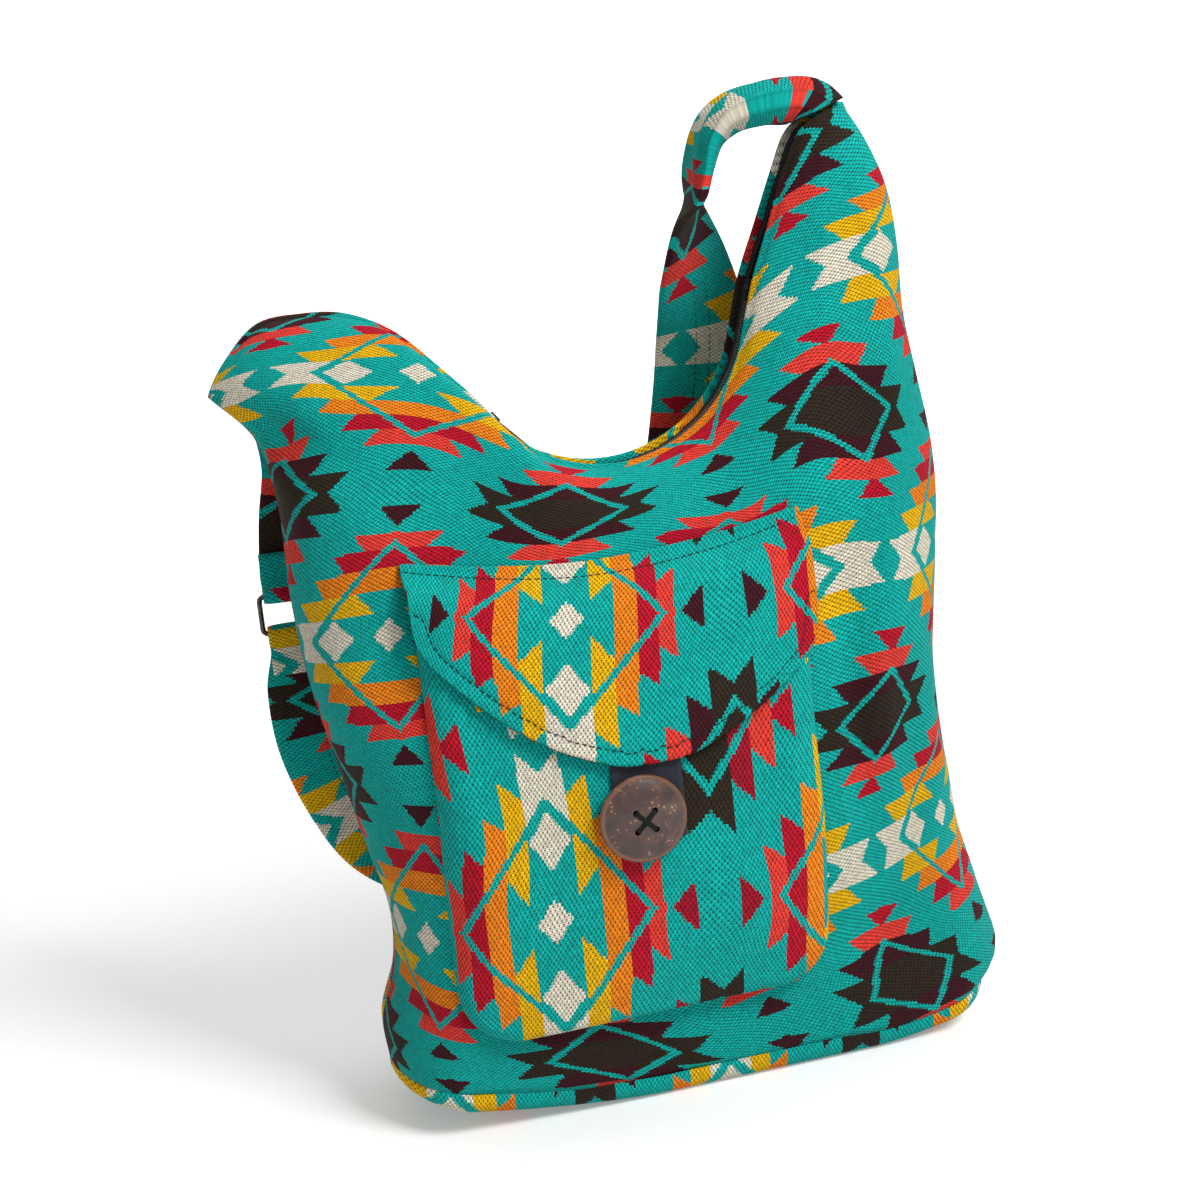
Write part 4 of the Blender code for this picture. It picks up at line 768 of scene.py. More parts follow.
def cloth_object(name, points, weave, mat, flip=False, ring=False):
    """A smooth surface from rows of points, its weave as UV map. A ring's last column meets its first."""
    faces = quad_indices(*points.shape[:2])
    if flip:
        faces = faces[:, ::-1]
    mesh = bpy.data.meshes.new(name)
    mesh.from_pydata(points.reshape(-1, 3).tolist(), [], faces.tolist())
    if weave is not None:
        corners = np.empty(len(mesh.loops), int)
        mesh.loops.foreach_get("vertex_index", corners)
        layer = mesh.uv_layers.new(name="weave")
        layer.data.foreach_set("uv", weave.reshape(-1, 2)[corners].ravel().astype(np.float32))
    if ring:
        bm = bmesh.new()
        bm.from_mesh(mesh)
        bmesh.ops.remove_doubles(bm, verts=bm.verts, dist=0.005 * MM)
        bm.to_mesh(mesh)
        bm.free()
    return placed(name, mesh, mat)


def thicken(obj, thickness, below=0.0):
    """Gives a surface its thickness on its inner side."""
    solid = obj.modifiers.new("thickness", "SOLIDIFY")
    solid.thickness = thickness
    solid.offset = -1 - 2 * below / thickness
    solid.use_even_offset = False
    return obj


def surface_of(*objects):
    """A tree of the objects' finished surfaces, which later layers are laid on."""
    verts, faces = [], []
    depsgraph = bpy.context.evaluated_depsgraph_get()
    for obj in objects:
        mesh = obj.evaluated_get(depsgraph).to_mesh()
        first = len(verts)
        verts += [v.co.copy() for v in mesh.vertices]
        faces += [[first + i for i in p.vertices] for p in mesh.polygons]
    return BVHTree.FromPolygons(verts, faces)


def front_y(tree, x, z):
    """Where a line from the front meets the surface."""
    hit = tree.ray_cast(Vector((x, -1, z)), Vector((0, 1, 0)))[0]
    return hit.y if hit else 0.0


def front_depths(tree, x, z):
    """front_y over arrays."""
    flat = [front_y(tree, a, b) for a, b in zip(x.ravel(), z.ravel())]
    return np.array(flat).reshape(x.shape)


def body_panels(mat):
    """Front and back of the body, each of one cut of cloth."""
    middle = BODY_COLUMNS // 2
    front = panel_points(-1, BODY_COLUMNS, BODY_ROWS, FRONT_FOLDS)
    flat = laid_flat(front, middle)
    front_obj = thicken(cloth_object("body_front", front, fitted_weave(front, flat, FRONT_MARKS), mat), CLOTH)
    back = panel_points(1, BODY_COLUMNS, BODY_ROWS, BACK_FOLDS)
    flat = laid_flat(back, middle)
    weave = moved_weave(flat, BACK_MOTIF)
    back_obj = thicken(cloth_object("body_back", back, weave, mat, flip=True), CLOTH)
    return front_obj, back_obj


# Base

def base_panel(mat):
    """Base cloth, turned up to the seam along the bottom of the body."""
    shares = spread(BODY_COLUMNS)
    front = np.stack((body_point(shares, 0.0)[:, 0], -body_depth(shares, np.zeros_like(shares))), axis=-1)
    front[:, 1] = np.minimum(front[:, 1], -0.3 * MM)
    loop = np.concatenate((front, (front * (1, -1))[::-1]))
    way = np.roll(loop, -1, axis=0) - np.roll(loop, 1, axis=0)
    way = units(way)
    inward = np.stack((-way[:, 1], way[:, 0]), axis=1)
    foot = foot_height(loop[:, 0])
    rings = []
    heights = [(1.2 * MM, BASE_TURN_UP + 1 * MM), (0.2 * MM, BASE_TURN_UP - 1.2 * MM),
               (0, BASE_TURN_UP - 3 * MM)]
    for angle in np.linspace(0, math.pi / 2, 8):
        heights.append((BASE_ROUNDING * (1 - math.cos(angle)), BASE_ROUNDING * (1 - math.sin(angle))))
    for inset, height in heights:
        place = loop + inward * inset
        rings.append(np.column_stack((place, foot + height)))
    last = rings[-1]
    half = len(last) // 2
    for share in (0.25, 0.5, 0.75, 0.97):
        middle = np.concatenate((last[:half] * (1 - share / 2) + last[half:][::-1] * share / 2,
                                 (last[half:] * (1 - share / 2) + last[:half][::-1] * share / 2)))
        rings.append(middle)
    points = np.stack(rings)
    points = np.concatenate((points, points[:, :1]), axis=1)
    fall = np.linalg.norm(np.diff(points, axis=0), axis=2)
    t = np.concatenate((np.zeros((1, points.shape[1])), np.cumsum(fall, axis=0)))
    weave = moved_weave(np.stack((points[..., 0], -t), axis=-1), BASE_MOTIF)[..., ::-1]
    base = thicken(cloth_object("base_cloth", points, weave, mat, flip=True, ring=True), CLOTH)
    return base


# Front pocket

POCKET_LEFT = -150 * MM
POCKET_RIGHT = 59 * MM
POCKET_BOTTOM = 56 * MM
POCKET_TOP = 303 * MM
POCKET_TOP_SAG = 12 * MM
POCKET_CORNER = 34 * MM
POCKET_EDGE_DEPTH = 9 * MM
POCKET_EDGE_ROUNDING = 7 * MM
POCKET_BULGE = 14 * MM
POCKET_RIM_SLACK = 3 * MM
POCKET_FOOT = 0.8 * MM
POCKET_COLUMNS = 90
POCKET_ROWS = 90
POCKET_FOLDS = (
    ((-140, 290), (-132, 90), 8, 2),
    ((40, 290), (44, 110), 9, 2.5),
    ((-20, 90), (-100, 76), 12, 1.5),
    ((-120, 150), (-40, 130), 22, -1.5),
    ((10, 270), (20, 180), 14, -2),
)


def pocket_top(x):
    across = (x - (POCKET_LEFT + POCKET_RIGHT) / 2) / ((POCKET_RIGHT - POCKET_LEFT) / 2)
    return POCKET_TOP - POCKET_TOP_SAG * np.clip(1 - across ** 2, 0, None)


def pocket_bulge(x, z):
    """How far the pocket's middle swells beyond its edge depth."""
    middle = (POCKET_LEFT + POCKET_RIGHT) / 2
    across = np.minimum(1, np.abs(x - middle) / ((POCKET_RIGHT - POCKET_LEFT) / 2))
    up = np.clip((z - POCKET_BOTTOM) / (pocket_top(x) - POCKET_BOTTOM), 0, 1)
    return (1 - across ** 2.4) * (POCKET_BULGE * (4 * up * (1 - up)) ** 0.75 + POCKET_RIM_SLACK * up)


def pocket_inside_edge(x, z):
    """Distance from the pocket's sewn outline."""
    low_z = POCKET_BOTTOM + POCKET_CORNER
    straight = np.minimum(np.minimum(x - POCKET_LEFT, POCKET_RIGHT - x), z - POCKET_BOTTOM)
    out = np.maximum(POCKET_LEFT + POCKET_CORNER - x, x - (POCKET_RIGHT - POCKET_CORNER))
    round_corner = POCKET_CORNER - np.hypot(out, z - low_z)
    inside = np.where((z < low_z) & (out > 0), round_corner, straight)
    return np.clip(inside, 0, None)


def pocket_stand(x, z):
    """Height of the pocket's outer face above the body."""
    edge = POCKET_EDGE_DEPTH * swell(pocket_inside_edge(x, z) / POCKET_EDGE_ROUNDING)
    wavy = np.minimum(1, edge / POCKET_EDGE_DEPTH) * (folds(POCKET_FOLDS, x, z) + 0.6 * slack(x, z, 4.1))
    return np.maximum(edge + pocket_bulge(x, z) + wavy, POCKET_FOOT + 1.5 * MM)


def pocket_grid():
    """Places (x, z) over the pocket: rows bottom to top, between its edges at each height."""
    level = ((np.arange(POCKET_ROWS + 1) / POCKET_ROWS) ** 1.3)[:, None]
    share = spread(POCKET_COLUMNS, 0.8)[None, :]
    z = POCKET_BOTTOM + level * (POCKET_TOP - POCKET_BOTTOM)
    below = np.clip(POCKET_CORNER - (z - POCKET_BOTTOM), 0, None)
    cut = POCKET_CORNER - np.sqrt(POCKET_CORNER ** 2 - below ** 2)
    left, right = POCKET_LEFT + cut, POCKET_RIGHT - cut
    x = left + (right - left) * share
    return x, POCKET_BOTTOM + level * (pocket_top(x) - POCKET_BOTTOM)


def front_pocket(body, mat):
    """Bellows patch pocket with rounded bottom corners."""
    x, z = pocket_grid()
    base = front_depths(body, x, z)
    points = np.stack((x, base - pocket_stand(x, z), z), axis=-1)
    foot = np.stack((x[:1], base[:1] - POCKET_FOOT, z[:1]), axis=-1)
    points = np.concatenate((foot, points))
    sides = []
    for column in (0, -1):
        edge = points[:, column:column + 1 or None].copy()
        edge[1:, 0, 1] = base[:, column] - POCKET_FOOT
        sides.append(edge)
    points = np.concatenate((sides[0], points, sides[1]), axis=1)
    middle = points.shape[1] // 2
    flat = laid_flat(points, middle)
    weave = fitted_weave(points, flat, POCKET_MARKS)
    pocket = thicken(cloth_object("pocket_front", points, weave, mat), CLOTH)
    return pocket


# Flap

# Rim of the flap from its left end to its right, millimetres (x, z)
FLAP_EDGE = ((-153, 290), (-151, 280), (-145, 269), (-132, 255), (-116, 240), (-92, 223), (-63, 210),
             (-49, 207.5), (-30, 207.5), (-14, 210.5), (2, 217), (19, 225), (36, 234), (50, 243.5), (58, 253),
             (63, 272))
FLAP_SEWN_ABOVE = 16 * MM
FLAP_CLOTH = 1.8 * MM
FLAP_BACKING = 0.6 * MM
FLAP_STAND = 2.5 * MM
FLAP_STITCH_IN = 7.5 * MM
FLAP_TOP_STITCH = 5 * MM
FLAP_COLUMNS = 110
FLAP_ROWS = 60


def flap_grid(body):
    """The flap's outer face: rows from its sewn edge at the top down to its rim."""
    edge = Track(smooth_curve(FLAP_EDGE) * MM)
    rim = edge.at(spread(FLAP_COLUMNS, 0.2))
    top = pocket_top(rim[:, 0]) + FLAP_SEWN_ABOVE
    down = (np.arange(FLAP_ROWS + 1) / FLAP_ROWS)[:, None]
    x = np.broadcast_to(rim[:, 0], (FLAP_ROWS + 1, FLAP_COLUMNS + 1))
    z = top + (rim[:, 1] - top) * down
    ramp = np.clip((top - z) / FLAP_SEWN_ABOVE, 0, 1)
    ramp = ramp * ramp * (3 - 2 * ramp)
    lift = POCKET_EDGE_DEPTH + pocket_bulge(x, z) + FLAP_STAND
    wavy = 0.5 * slack(x, z, 4.1) * ramp
    stitched = np.linalg.norm(np.stack((x, z), -1)[:, :, None] - rim[None, None, ::4], axis=-1).min(axis=2)
    groove = 0.7 * MM * np.exp(-((stitched - FLAP_STITCH_IN) / (1.4 * MM)) ** 2)
    rounded = 1.1 * MM * (1 - swell(stitched / (3 * MM)))
    layers = FLAP_CLOTH + FLAP_BACKING + 1.4 * MM
    y = front_depths(body, x, z) - layers - ramp * lift - wavy + groove + rounded
    return np.stack((x, y, z), axis=-1)


def pocket_flap(body, mat, black):
    """The flap's cloth, rolled over along its sewn top, and its black backing."""
    points = flap_grid(body)
    rolled = np.concatenate((hem_rows(points[0], -1)[::-1], points))
    flat = laid_flat(rolled[::-1], points.shape[1] // 2)[::-1]
    flap = cloth_object("flap_cloth", rolled, fitted_weave(rolled, flat, FLAP_MARKS), mat, flip=True)
    thicken(flap, FLAP_CLOTH)
    backing = points.copy()
    backing[-1, :, 2] -= 0.9 * MM
    flat = laid_flat(backing[::-1], points.shape[1] // 2)[::-1]
    backing_obj = cloth_object("flap_backing", backing, None, black, flip=True)
    thicken(backing_obj, FLAP_BACKING * 1.5, FLAP_CLOTH)
    return flap, backing_obj, points


# Stitches and other small shapes that repeat

STITCH_LENGTH = 3.0 * MM
STITCH_PITCH = 4.0 * MM
STITCH_RADIUS = 0.32 * MM


def copies(name, verts, faces, frames, mat):
    """One mesh of a small shape repeated at many places. A frame is (place, x way, y way, z way)."""
    verts = np.array(verts)
    places = [np.array(f[0]) + verts @ np.array(f[1:]) for f in frames]
    all_faces = [[k * len(verts) + i for i in face] for k in range(len(frames)) for face in faces]
    mesh = bpy.data.meshes.new(name)
    mesh.from_pydata(np.concatenate(places).tolist(), [], all_faces)
    return placed(name, mesh, mat)


def spindle(sides=6):
    """A stitch one unit long and one unit in radius: two points and two rings."""
    verts = [(-0.5, 0, 0)]
    for x in (-0.3, 0.3):
        verts += [(x, math.cos(math.tau * k / sides), math.sin(math.tau * k / sides)) for k in range(sides)]
    verts.append((0.5, 0, 0))
    last = len(verts) - 1
    faces = []
    for k in range(sides):
        n = (k + 1) % sides
        faces += [(0, 1 + n, 1 + k), (1 + k, 1 + n, 1 + sides + n, 1 + sides + k),
                  (last, 1 + sides + k, 1 + sides + n)]
    return verts, faces


def stitch_frames(line, outs, sink=0.1 * MM):
    """Frames of stitches at an even pitch along a line of points, each lying on the cloth."""
    lengths = distances(line)
    where = np.arange(STITCH_PITCH / 2, lengths[-1], STITCH_PITCH)
    ends = [read_along(where + shift * STITCH_LENGTH, lengths, line) for shift in (-0.5, 0, 0.5)]
    up = read_along(where, lengths, outs)
    frames = []
    for start, middle, end, out in zip(*ends, up):
        way = (end - start) / (np.linalg.norm(end - start) + 1e-9)
        side = np.cross(out, way)
        side /= np.linalg.norm(side) + 1e-9
        out = np.cross(way, side)
        frames.append((middle + out * (STITCH_RADIUS - sink), way * STITCH_LENGTH, side * STITCH_RADIUS,
                       out * STITCH_RADIUS))
    return frames


def grid_normals(points):
    """Ways that a grid of points faces, towards the front."""
    along = np.gradient(points, axis=1)
    up = np.gradient(points, axis=0)
    normal = np.cross(along, up)
    normal /= np.linalg.norm(normal, axis=-1)[..., None] + 1e-12
    return np.where(normal[..., 1:2] > 0, -normal, normal)


def flap_stitching(points, thread):
    """A row of stitches inside the flap's rim and one below its rolled top."""
    normals = grid_normals(points)
    rim = points[-1]
    line, outs = [], []
    for column in range(4, points.shape[1] - 4):
        away = np.linalg.norm(points[:, column, None] - rim[None], axis=-1).min(axis=1)
        row = int(np.abs(away - FLAP_STITCH_IN).argmin())
        line.append(points[row, column])
        outs.append(normals[row, column])
    frames = stitch_frames(np.array(line), np.array(outs))
    middle = FLAP_COLUMNS // 2
    below = int(np.abs(points[0, middle, 2] - points[:, middle, 2] - FLAP_TOP_STITCH).argmin())
    frames += stitch_frames(points[below, 2:-2], normals[below, 2:-2])
    return copies("flap_stitching", *spindle(), frames, thread)


# Straps and ring

STRAP_WIDTH = 56 * MM
STRAP_END_THICKNESS = 3.2 * MM
LAYER_GAP = 0.3 * MM
RING_WIRE = 1.5 * MM
RING_OPENING = 11.5 * MM
RING_X = -187 * MM
RING_Y = 60 * MM
RING_Z = 281 * MM
STRAP_TAIL = 24 * MM
LOOP_CLOSED = 13 * MM
LOOP_PARTING = 7 * MM
LOOP_PARTED = 0.7 * MM
STRAP_SIDES = 48
STRAP_STEP = 1.2 * MM
STRAP_SEAM = 4 * MM
# Where the pattern lies on the straps, millimetres: how far along the strap, and how far along the pattern's
# short side. It is drawn together where the strap is bunched over the hook.
LONG_STRAP_ROWS = ((0, -78), (58, 0), (104, 79), (191, 158), (738, 762), (900, 941))
SHORT_STRAP_ROWS = ((0, -46), (300, 254))
STRAP_ASIDE = -72 * MM
STRAP_SKEW = 0.6
LONG_STRAP_SEWN_FROM = 150 * MM
SHORT_STRAP_SEWN_FROM = 20 * MM
# Route of the long strap from the horn's top, millimetres: place, way its outer face looks, width, thickness
LONG_STRAP = (
    (106.4, 0, 524.3, 0.94, 0, 0.34, 27, 28),
    (101, 0.5, 529, 0.72, 0, 0.69, 31, 25),
    (93.5, 1.5, 531, 0.32, 0, 0.95, 36, 22.5),
    (77, 5, 531, -0.05, 0, 1, 40, 21),
    (61, 9, 527.5, -0.35, 0, 0.93, 38, 18),
    (50, 13, 518, -0.88, 0, 0.47, 35, 13),
    (45, 18, 503, -1, 0, 0.1, 35, 10),
    (42.5, 23, 489, -1, 0.15, 0, 40, 8.5),
    (39.5, 29, 474, -0.8, 0.6, 0, 47, 7.5),
    (44, 40, 444, -0.4, 0.9, 0, 54, 6),
    (50, 54, 408, 0, 1, 0, 55, 6),
    (48, 66, 366, 0, 1, 0, 56, 6),
    (39, 73, 318, 0, 1, 0, 56, 6),
    (18, 76, 262, 0, 1, 0, 56, 6),
    (-14, 77, 202, 0, 1, 0, 56, 6),
    (-50, 77, 152, 0, 1, 0, 56, 6),
    (-90, 77, 122, 0, 1, 0, 56, 6),
    (-128, 76, 118, 0, 1, 0, 56, 6),
    (-160, 73, 137, 0, 1, 0, 57, 6),
    (-178, 69, 168, 0, 1, 0, 57, 5),
    (-187.5, 65, 205, 0, 1, 0, 61, 4.5),
    (-187, 62.5, 237, 0, 1, 0, 65, 4),
)
SHORT_STRAP = (
    (-212, 23, 427, -0.1, 1, 0.15, 48, 3.2),
    (-199, 36, 414, 0, 1, 0.4, 50, 3.2),
    (-184, 46, 392, 0, 1, 0.2, 54, 3.2),
    (-179, 55, 362, 0, 1, 0, 56, 3.2),
    (-184, 62, 330, 0, 1, 0, 56, 3.2),
)


def strap_loop(way):
    """Stations of a strap's end round a ring bar and back beside itself: way 1 from above, -1 from below."""
    half_height = RING_OPENING / 2 + STRAP_END_THICKNESS + LAYER_GAP + RING_WIRE
    bar_z = RING_Z + way * half_height
    reach = RING_WIRE + LAYER_GAP + STRAP_END_THICKNESS / 2
    beside = STRAP_END_THICKNESS / 2 + LAYER_GAP
    size = (STRAP_WIDTH, STRAP_END_THICKNESS)
    parted = beside + LOOP_PARTED
    stations = [(RING_X, RING_Y + beside, bar_z + way * LOOP_CLOSED, 0, 1, 0, *size)]
    stations.append((RING_X, RING_Y + parted, bar_z + way * LOOP_PARTING, 0, 1, 0, *size))
    for k in range(7):
        angle = math.radians(30 * k)
        y, z = math.cos(angle), -way * math.sin(angle)
        stations.append((RING_X, RING_Y + reach * y, bar_z + reach * z, 0, y, z, *size))
    stations.append((RING_X, RING_Y - parted, bar_z + way * LOOP_PARTING, 0, -1, 0, *size))
    stations.append((RING_X, RING_Y - beside, bar_z + way * LOOP_CLOSED, 0, -1, 0, *size))
    stations.append((RING_X, RING_Y - beside, bar_z + way * STRAP_TAIL, 0, -1, 0, *size))
    return stations


def strap_route(stations, way):
    """Dense stations in metres: places, outward ways, widths, thicknesses."""
    route = [tuple(v * MM for v in s[:3]) + s[3:6] + (s[6] * MM, s[7] * MM) for s in stations]
    dense = smooth_curve(route + strap_loop(way), 10)
    kept = [dense[0]]
    for station in dense[1:]:
        if np.linalg.norm(station[:3] - kept[-1][:3]) > STRAP_STEP:
            kept.append(station)
    kept = np.array(kept)
    return kept[:, :3], kept[:, 3:6], kept[:, 6], kept[:, 7]


def strap(name, stations, way, mat, thread, rows, stitched_from):
    """A flat tube of cloth: bunched into pleats where it is tied, with two seams along its middle."""
    places, outs, widths, depths = strap_route(stations, way)
    ways = units(np.gradient(places, axis=0))
    outs = units(outs)
    across = units(np.cross(outs, ways))
    along = distances(places)
    angles = math.tau * (np.arange(STRAP_SIDES + 1) + 0.5) / STRAP_SIDES
    c, s = np.cos(angles), np.sin(angles)
    flat_a = np.sign(c) * np.abs(c) ** 0.35
    flat_o = np.sign(s) * np.abs(s) ** 0.6
    a = widths[:, None] / 2 * flat_a
    bunched = np.clip((depths - 7 * MM) / (8 * MM), 0, 1)[:, None]
    pleats = bunched * 1.3 * MM * np.cos(3.2 * math.pi * flat_a + 9 * along[:, None])
    seams = (1 - bunched) * 0.35 * MM * np.exp(-((np.abs(a) - STRAP_SEAM) / (1.1 * MM)) ** 2)
    seams = seams * (along[:, None] > stitched_from)
    o = depths[:, None] / 2 * flat_o + np.sign(flat_o) * (np.abs(flat_o) > 0.6) * (pleats - seams)
    points = places[:, None] + across[:, None] * a[..., None] + outs[:, None] * o[..., None]
    skew = STRAP_SKEW * bunched * a
    sideways = STRAP_ASIDE - a * STRAP_WIDTH / widths[:, None]
    weave = np.stack((sideways, knots(rows, along)[:, None] + skew), axis=-1)
    points = closed_ends(points, places)
    weave = np.concatenate((weave[:1], weave, weave[-1:]))
    obj = cloth_object(name, points, weave, mat, flip=True, ring=True)

    frames = []
    sewn = along > stitched_from
    for shift in (-STRAP_SEAM, STRAP_SEAM):
        for side in (-1, 1):
            line = places + across * shift + outs * (side * (depths[:, None] / 2 - 0.3 * MM))
            frames += stitch_frames(line[sewn], outs[sewn] * side)
    stitching = copies(name + "_stitching", *spindle(), frames, thread)
    return obj, stitching


# Closure: tab, button and thread

BUTTON_X = -49 * MM
BUTTON_RADIUS = 23.5 * MM
BUTTON_RIM_THICKNESS = 3.2 * MM
BUTTON_DOME = 4.6 * MM
BUTTON_RIM = 2.4 * MM
BUTTON_HOLE_RADIUS = 1.7 * MM
BUTTON_HOLE_SPREAD = 7.0 * MM
HOLE_CUTTER_LENGTH = 40 * MM
TAB_X = -44 * MM
TAB_WIDTH = 38 * MM
TAB_THICKNESS = 1.6 * MM
TAB_LOW = 165 * MM
TAB_HIGH = 222 * MM
TAB_SLIT = 4.8 * MM
TAB_SLIT_FROM = 169.4 * MM
TAB_SLIT_LENGTH = 24 * MM
STRAND_RADIUS = 0.5 * MM
STRAND_SPACING = 0.8 * MM


def closure_tab(pocket_surface, mat):
    """Tab of charcoal cloth from under the flap's tip to behind the button, with its buttonhole slit."""
    slit = BUTTON_X - TAB_SLIT / 2
    xs = np.concatenate((np.linspace(TAB_X - TAB_WIDTH / 2, slit, 12),
                         np.linspace(slit, slit + TAB_SLIT, 4)[1:],
                         np.linspace(slit + TAB_SLIT, TAB_X + TAB_WIDTH / 2, 16)[1:]))
    slit_to = TAB_SLIT_FROM + TAB_SLIT_LENGTH
    zs = np.concatenate((np.linspace(TAB_LOW, TAB_SLIT_FROM, 4), np.linspace(TAB_SLIT_FROM, slit_to, 14)[1:],
                         np.linspace(slit_to, TAB_HIGH, 16)[1:]))
    x, z = np.meshgrid(xs, zs)
    y = front_depths(pocket_surface, x, z) - 0.6 * MM - TAB_THICKNESS
    crease = 0.5 * MM * np.exp(-((x - BUTTON_X) / (1.2 * MM)) ** 2) * (z > slit_to)
    edge = np.minimum(x - xs[0], xs[-1] - x)
    y = y + crease + 0.5 * MM * (1 - swell(edge / (1.5 * MM)))
    points = np.stack((x, y, z), axis=-1)
    obj = cloth_object("tab_cloth", points, None, mat)
    bm = bmesh.new()
    bm.from_mesh(obj.data)
    inside = [f for f in bm.faces if abs(f.calc_center_median().x - BUTTON_X) < TAB_SLIT / 2
              and TAB_SLIT_FROM < f.calc_center_median().z < slit_to]
    bmesh.ops.delete(bm, geom=inside, context="FACES")
    bm.to_mesh(obj.data)
    bm.free()
    return thicken(obj, TAB_THICKNESS)


def button_face(radius):
    """Height of the button's domed front over its back."""
    share = min(1.0, radius / (BUTTON_RADIUS - BUTTON_RIM))
    return BUTTON_RIM_THICKNESS + BUTTON_DOME * (1 - share ** 2.2)


def button_place():
    """The middle of the button's back and the way it looks, from the CAD button's own points."""
    verts = np.array([v.co for v in bpy.data.objects["button"].data.vertices])
    middle = (verts.max(axis=0) + verts.min(axis=0)) / 2
    normal = np.linalg.eigh(np.cov((verts - middle).T))[1][:, 0]
    normal *= -np.sign(normal[1])
    out = (verts - verts.mean(axis=0)) @ normal
    back = verts.mean(axis=0) + normal * out.min()
    turn = Vector(normal).to_track_quat("Z", "Y").to_matrix().to_4x4()
    return Matrix.Translation(back) @ turn


def deselect():
    for obj in bpy.context.selected_objects:
        obj.select_set(False)


def turned_disc(rings, sides):
    """A solid of rings (radius, height): a disc whose face is extruded and widened or narrowed."""
    deselect()
    bpy.ops.mesh.primitive_circle_add(vertices=sides, radius=rings[0][0], fill_type="NGON",
                                      location=(0, 0, rings[0][1]))
    obj = bpy.context.object
    bpy.ops.object.mode_set(mode="EDIT")
    bpy.ops.mesh.select_all(action="SELECT")
    for (r0, z0), (r1, z1) in zip(rings, rings[1:]):
        bpy.ops.mesh.extrude_region_move(TRANSFORM_OT_translate={"value": (0, 0, z1 - z0)})
        bpy.ops.transform.resize(value=(r1 / r0, r1 / r0, 1), center_override=(0, 0, z1))
    bpy.ops.mesh.select_all(action="SELECT")
    bpy.ops.mesh.normals_make_consistent(inside=False)
    bpy.ops.object.mode_set(mode="OBJECT")
    return obj


def button(place, mat):
    """Domed coconut-shell disc with a lip round its edge and four drilled holes."""
    inner = BUTTON_RADIUS - BUTTON_RIM
    rings = [(inner - 0.8 * MM, 0.0), (inner, 0.05 * MM), (BUTTON_RADIUS - 0.35 * BUTTON_RIM, 0.4 * MM),
             (BUTTON_RADIUS - 0.06 * BUTTON_RIM, 1.1 * MM), (BUTTON_RADIUS, 1.9 * MM),
             (BUTTON_RADIUS - 0.12 * BUTTON_RIM, 2.8 * MM), (BUTTON_RADIUS - 0.4 * BUTTON_RIM, 3.4 * MM),
             (BUTTON_RADIUS - 0.7 * BUTTON_RIM, 3.45 * MM), (inner, 3.2 * MM)]
    shares = (0.97, 0.92, 0.85, 0.77, 0.68, 0.58, 0.47, 0.36, 0.24)
    rings += [(inner * share, button_face(inner * share)) for share in shares]
    rings += [(inner * 0.02, button_face(0))]
    obj = turned_disc(rings, 96)
    obj.name = "coconut_button"
    h = BUTTON_HOLE_SPREAD * math.sqrt(0.5)
    for x, y in ((h, h), (-h, h), (-h, -h), (h, -h)):
        deselect()
        bpy.ops.mesh.primitive_cylinder_add(vertices=24, radius=BUTTON_HOLE_RADIUS,
                                            depth=HOLE_CUTTER_LENGTH, location=(x, y, 0))
        cutter = bpy.context.object
        deselect()
        obj.select_set(True)
        bpy.context.view_layer.objects.active = obj
        hole = obj.modifiers.new("hole", "BOOLEAN")
        hole.solver = "EXACT"
        hole.object = cutter
        bpy.ops.object.modifier_apply(modifier="hole")
        bpy.data.objects.remove(cutter, do_unlink=True)
    bevel = obj.modifiers.new("worn_edges", "BEVEL")
    bevel.width = 0.25 * MM
    bevel.segments = 2
    bevel.limit_method = "ANGLE"
    bevel.angle_limit = math.radians(50)
    bpy.ops.object.modifier_apply(modifier="worn_edges")
    obj.data.transform(place)
    obj.data.materials.clear()
    obj.data.materials.append(mat)
    bpy.ops.object.shade_smooth_by_angle(angle=math.radians(35))
    return obj


def tube_points(path, radius, sides=8):
    """Rings of points round a path."""
    path = smooth_curve(path, 6)
    ways = units(np.gradient(path, axis=0))
    side = units(np.cross(ways, (0.13, 0.97, 0.21)))
    up = np.cross(side, ways)
    angles = math.tau * np.arange(sides + 1) / sides
    c, s = np.cos(angles)[None, :, None], np.sin(angles)[None, :, None]
    ring = (side[:, None] * c + up[:, None] * s) * radius
    return closed_ends(path[:, None] + ring, path)


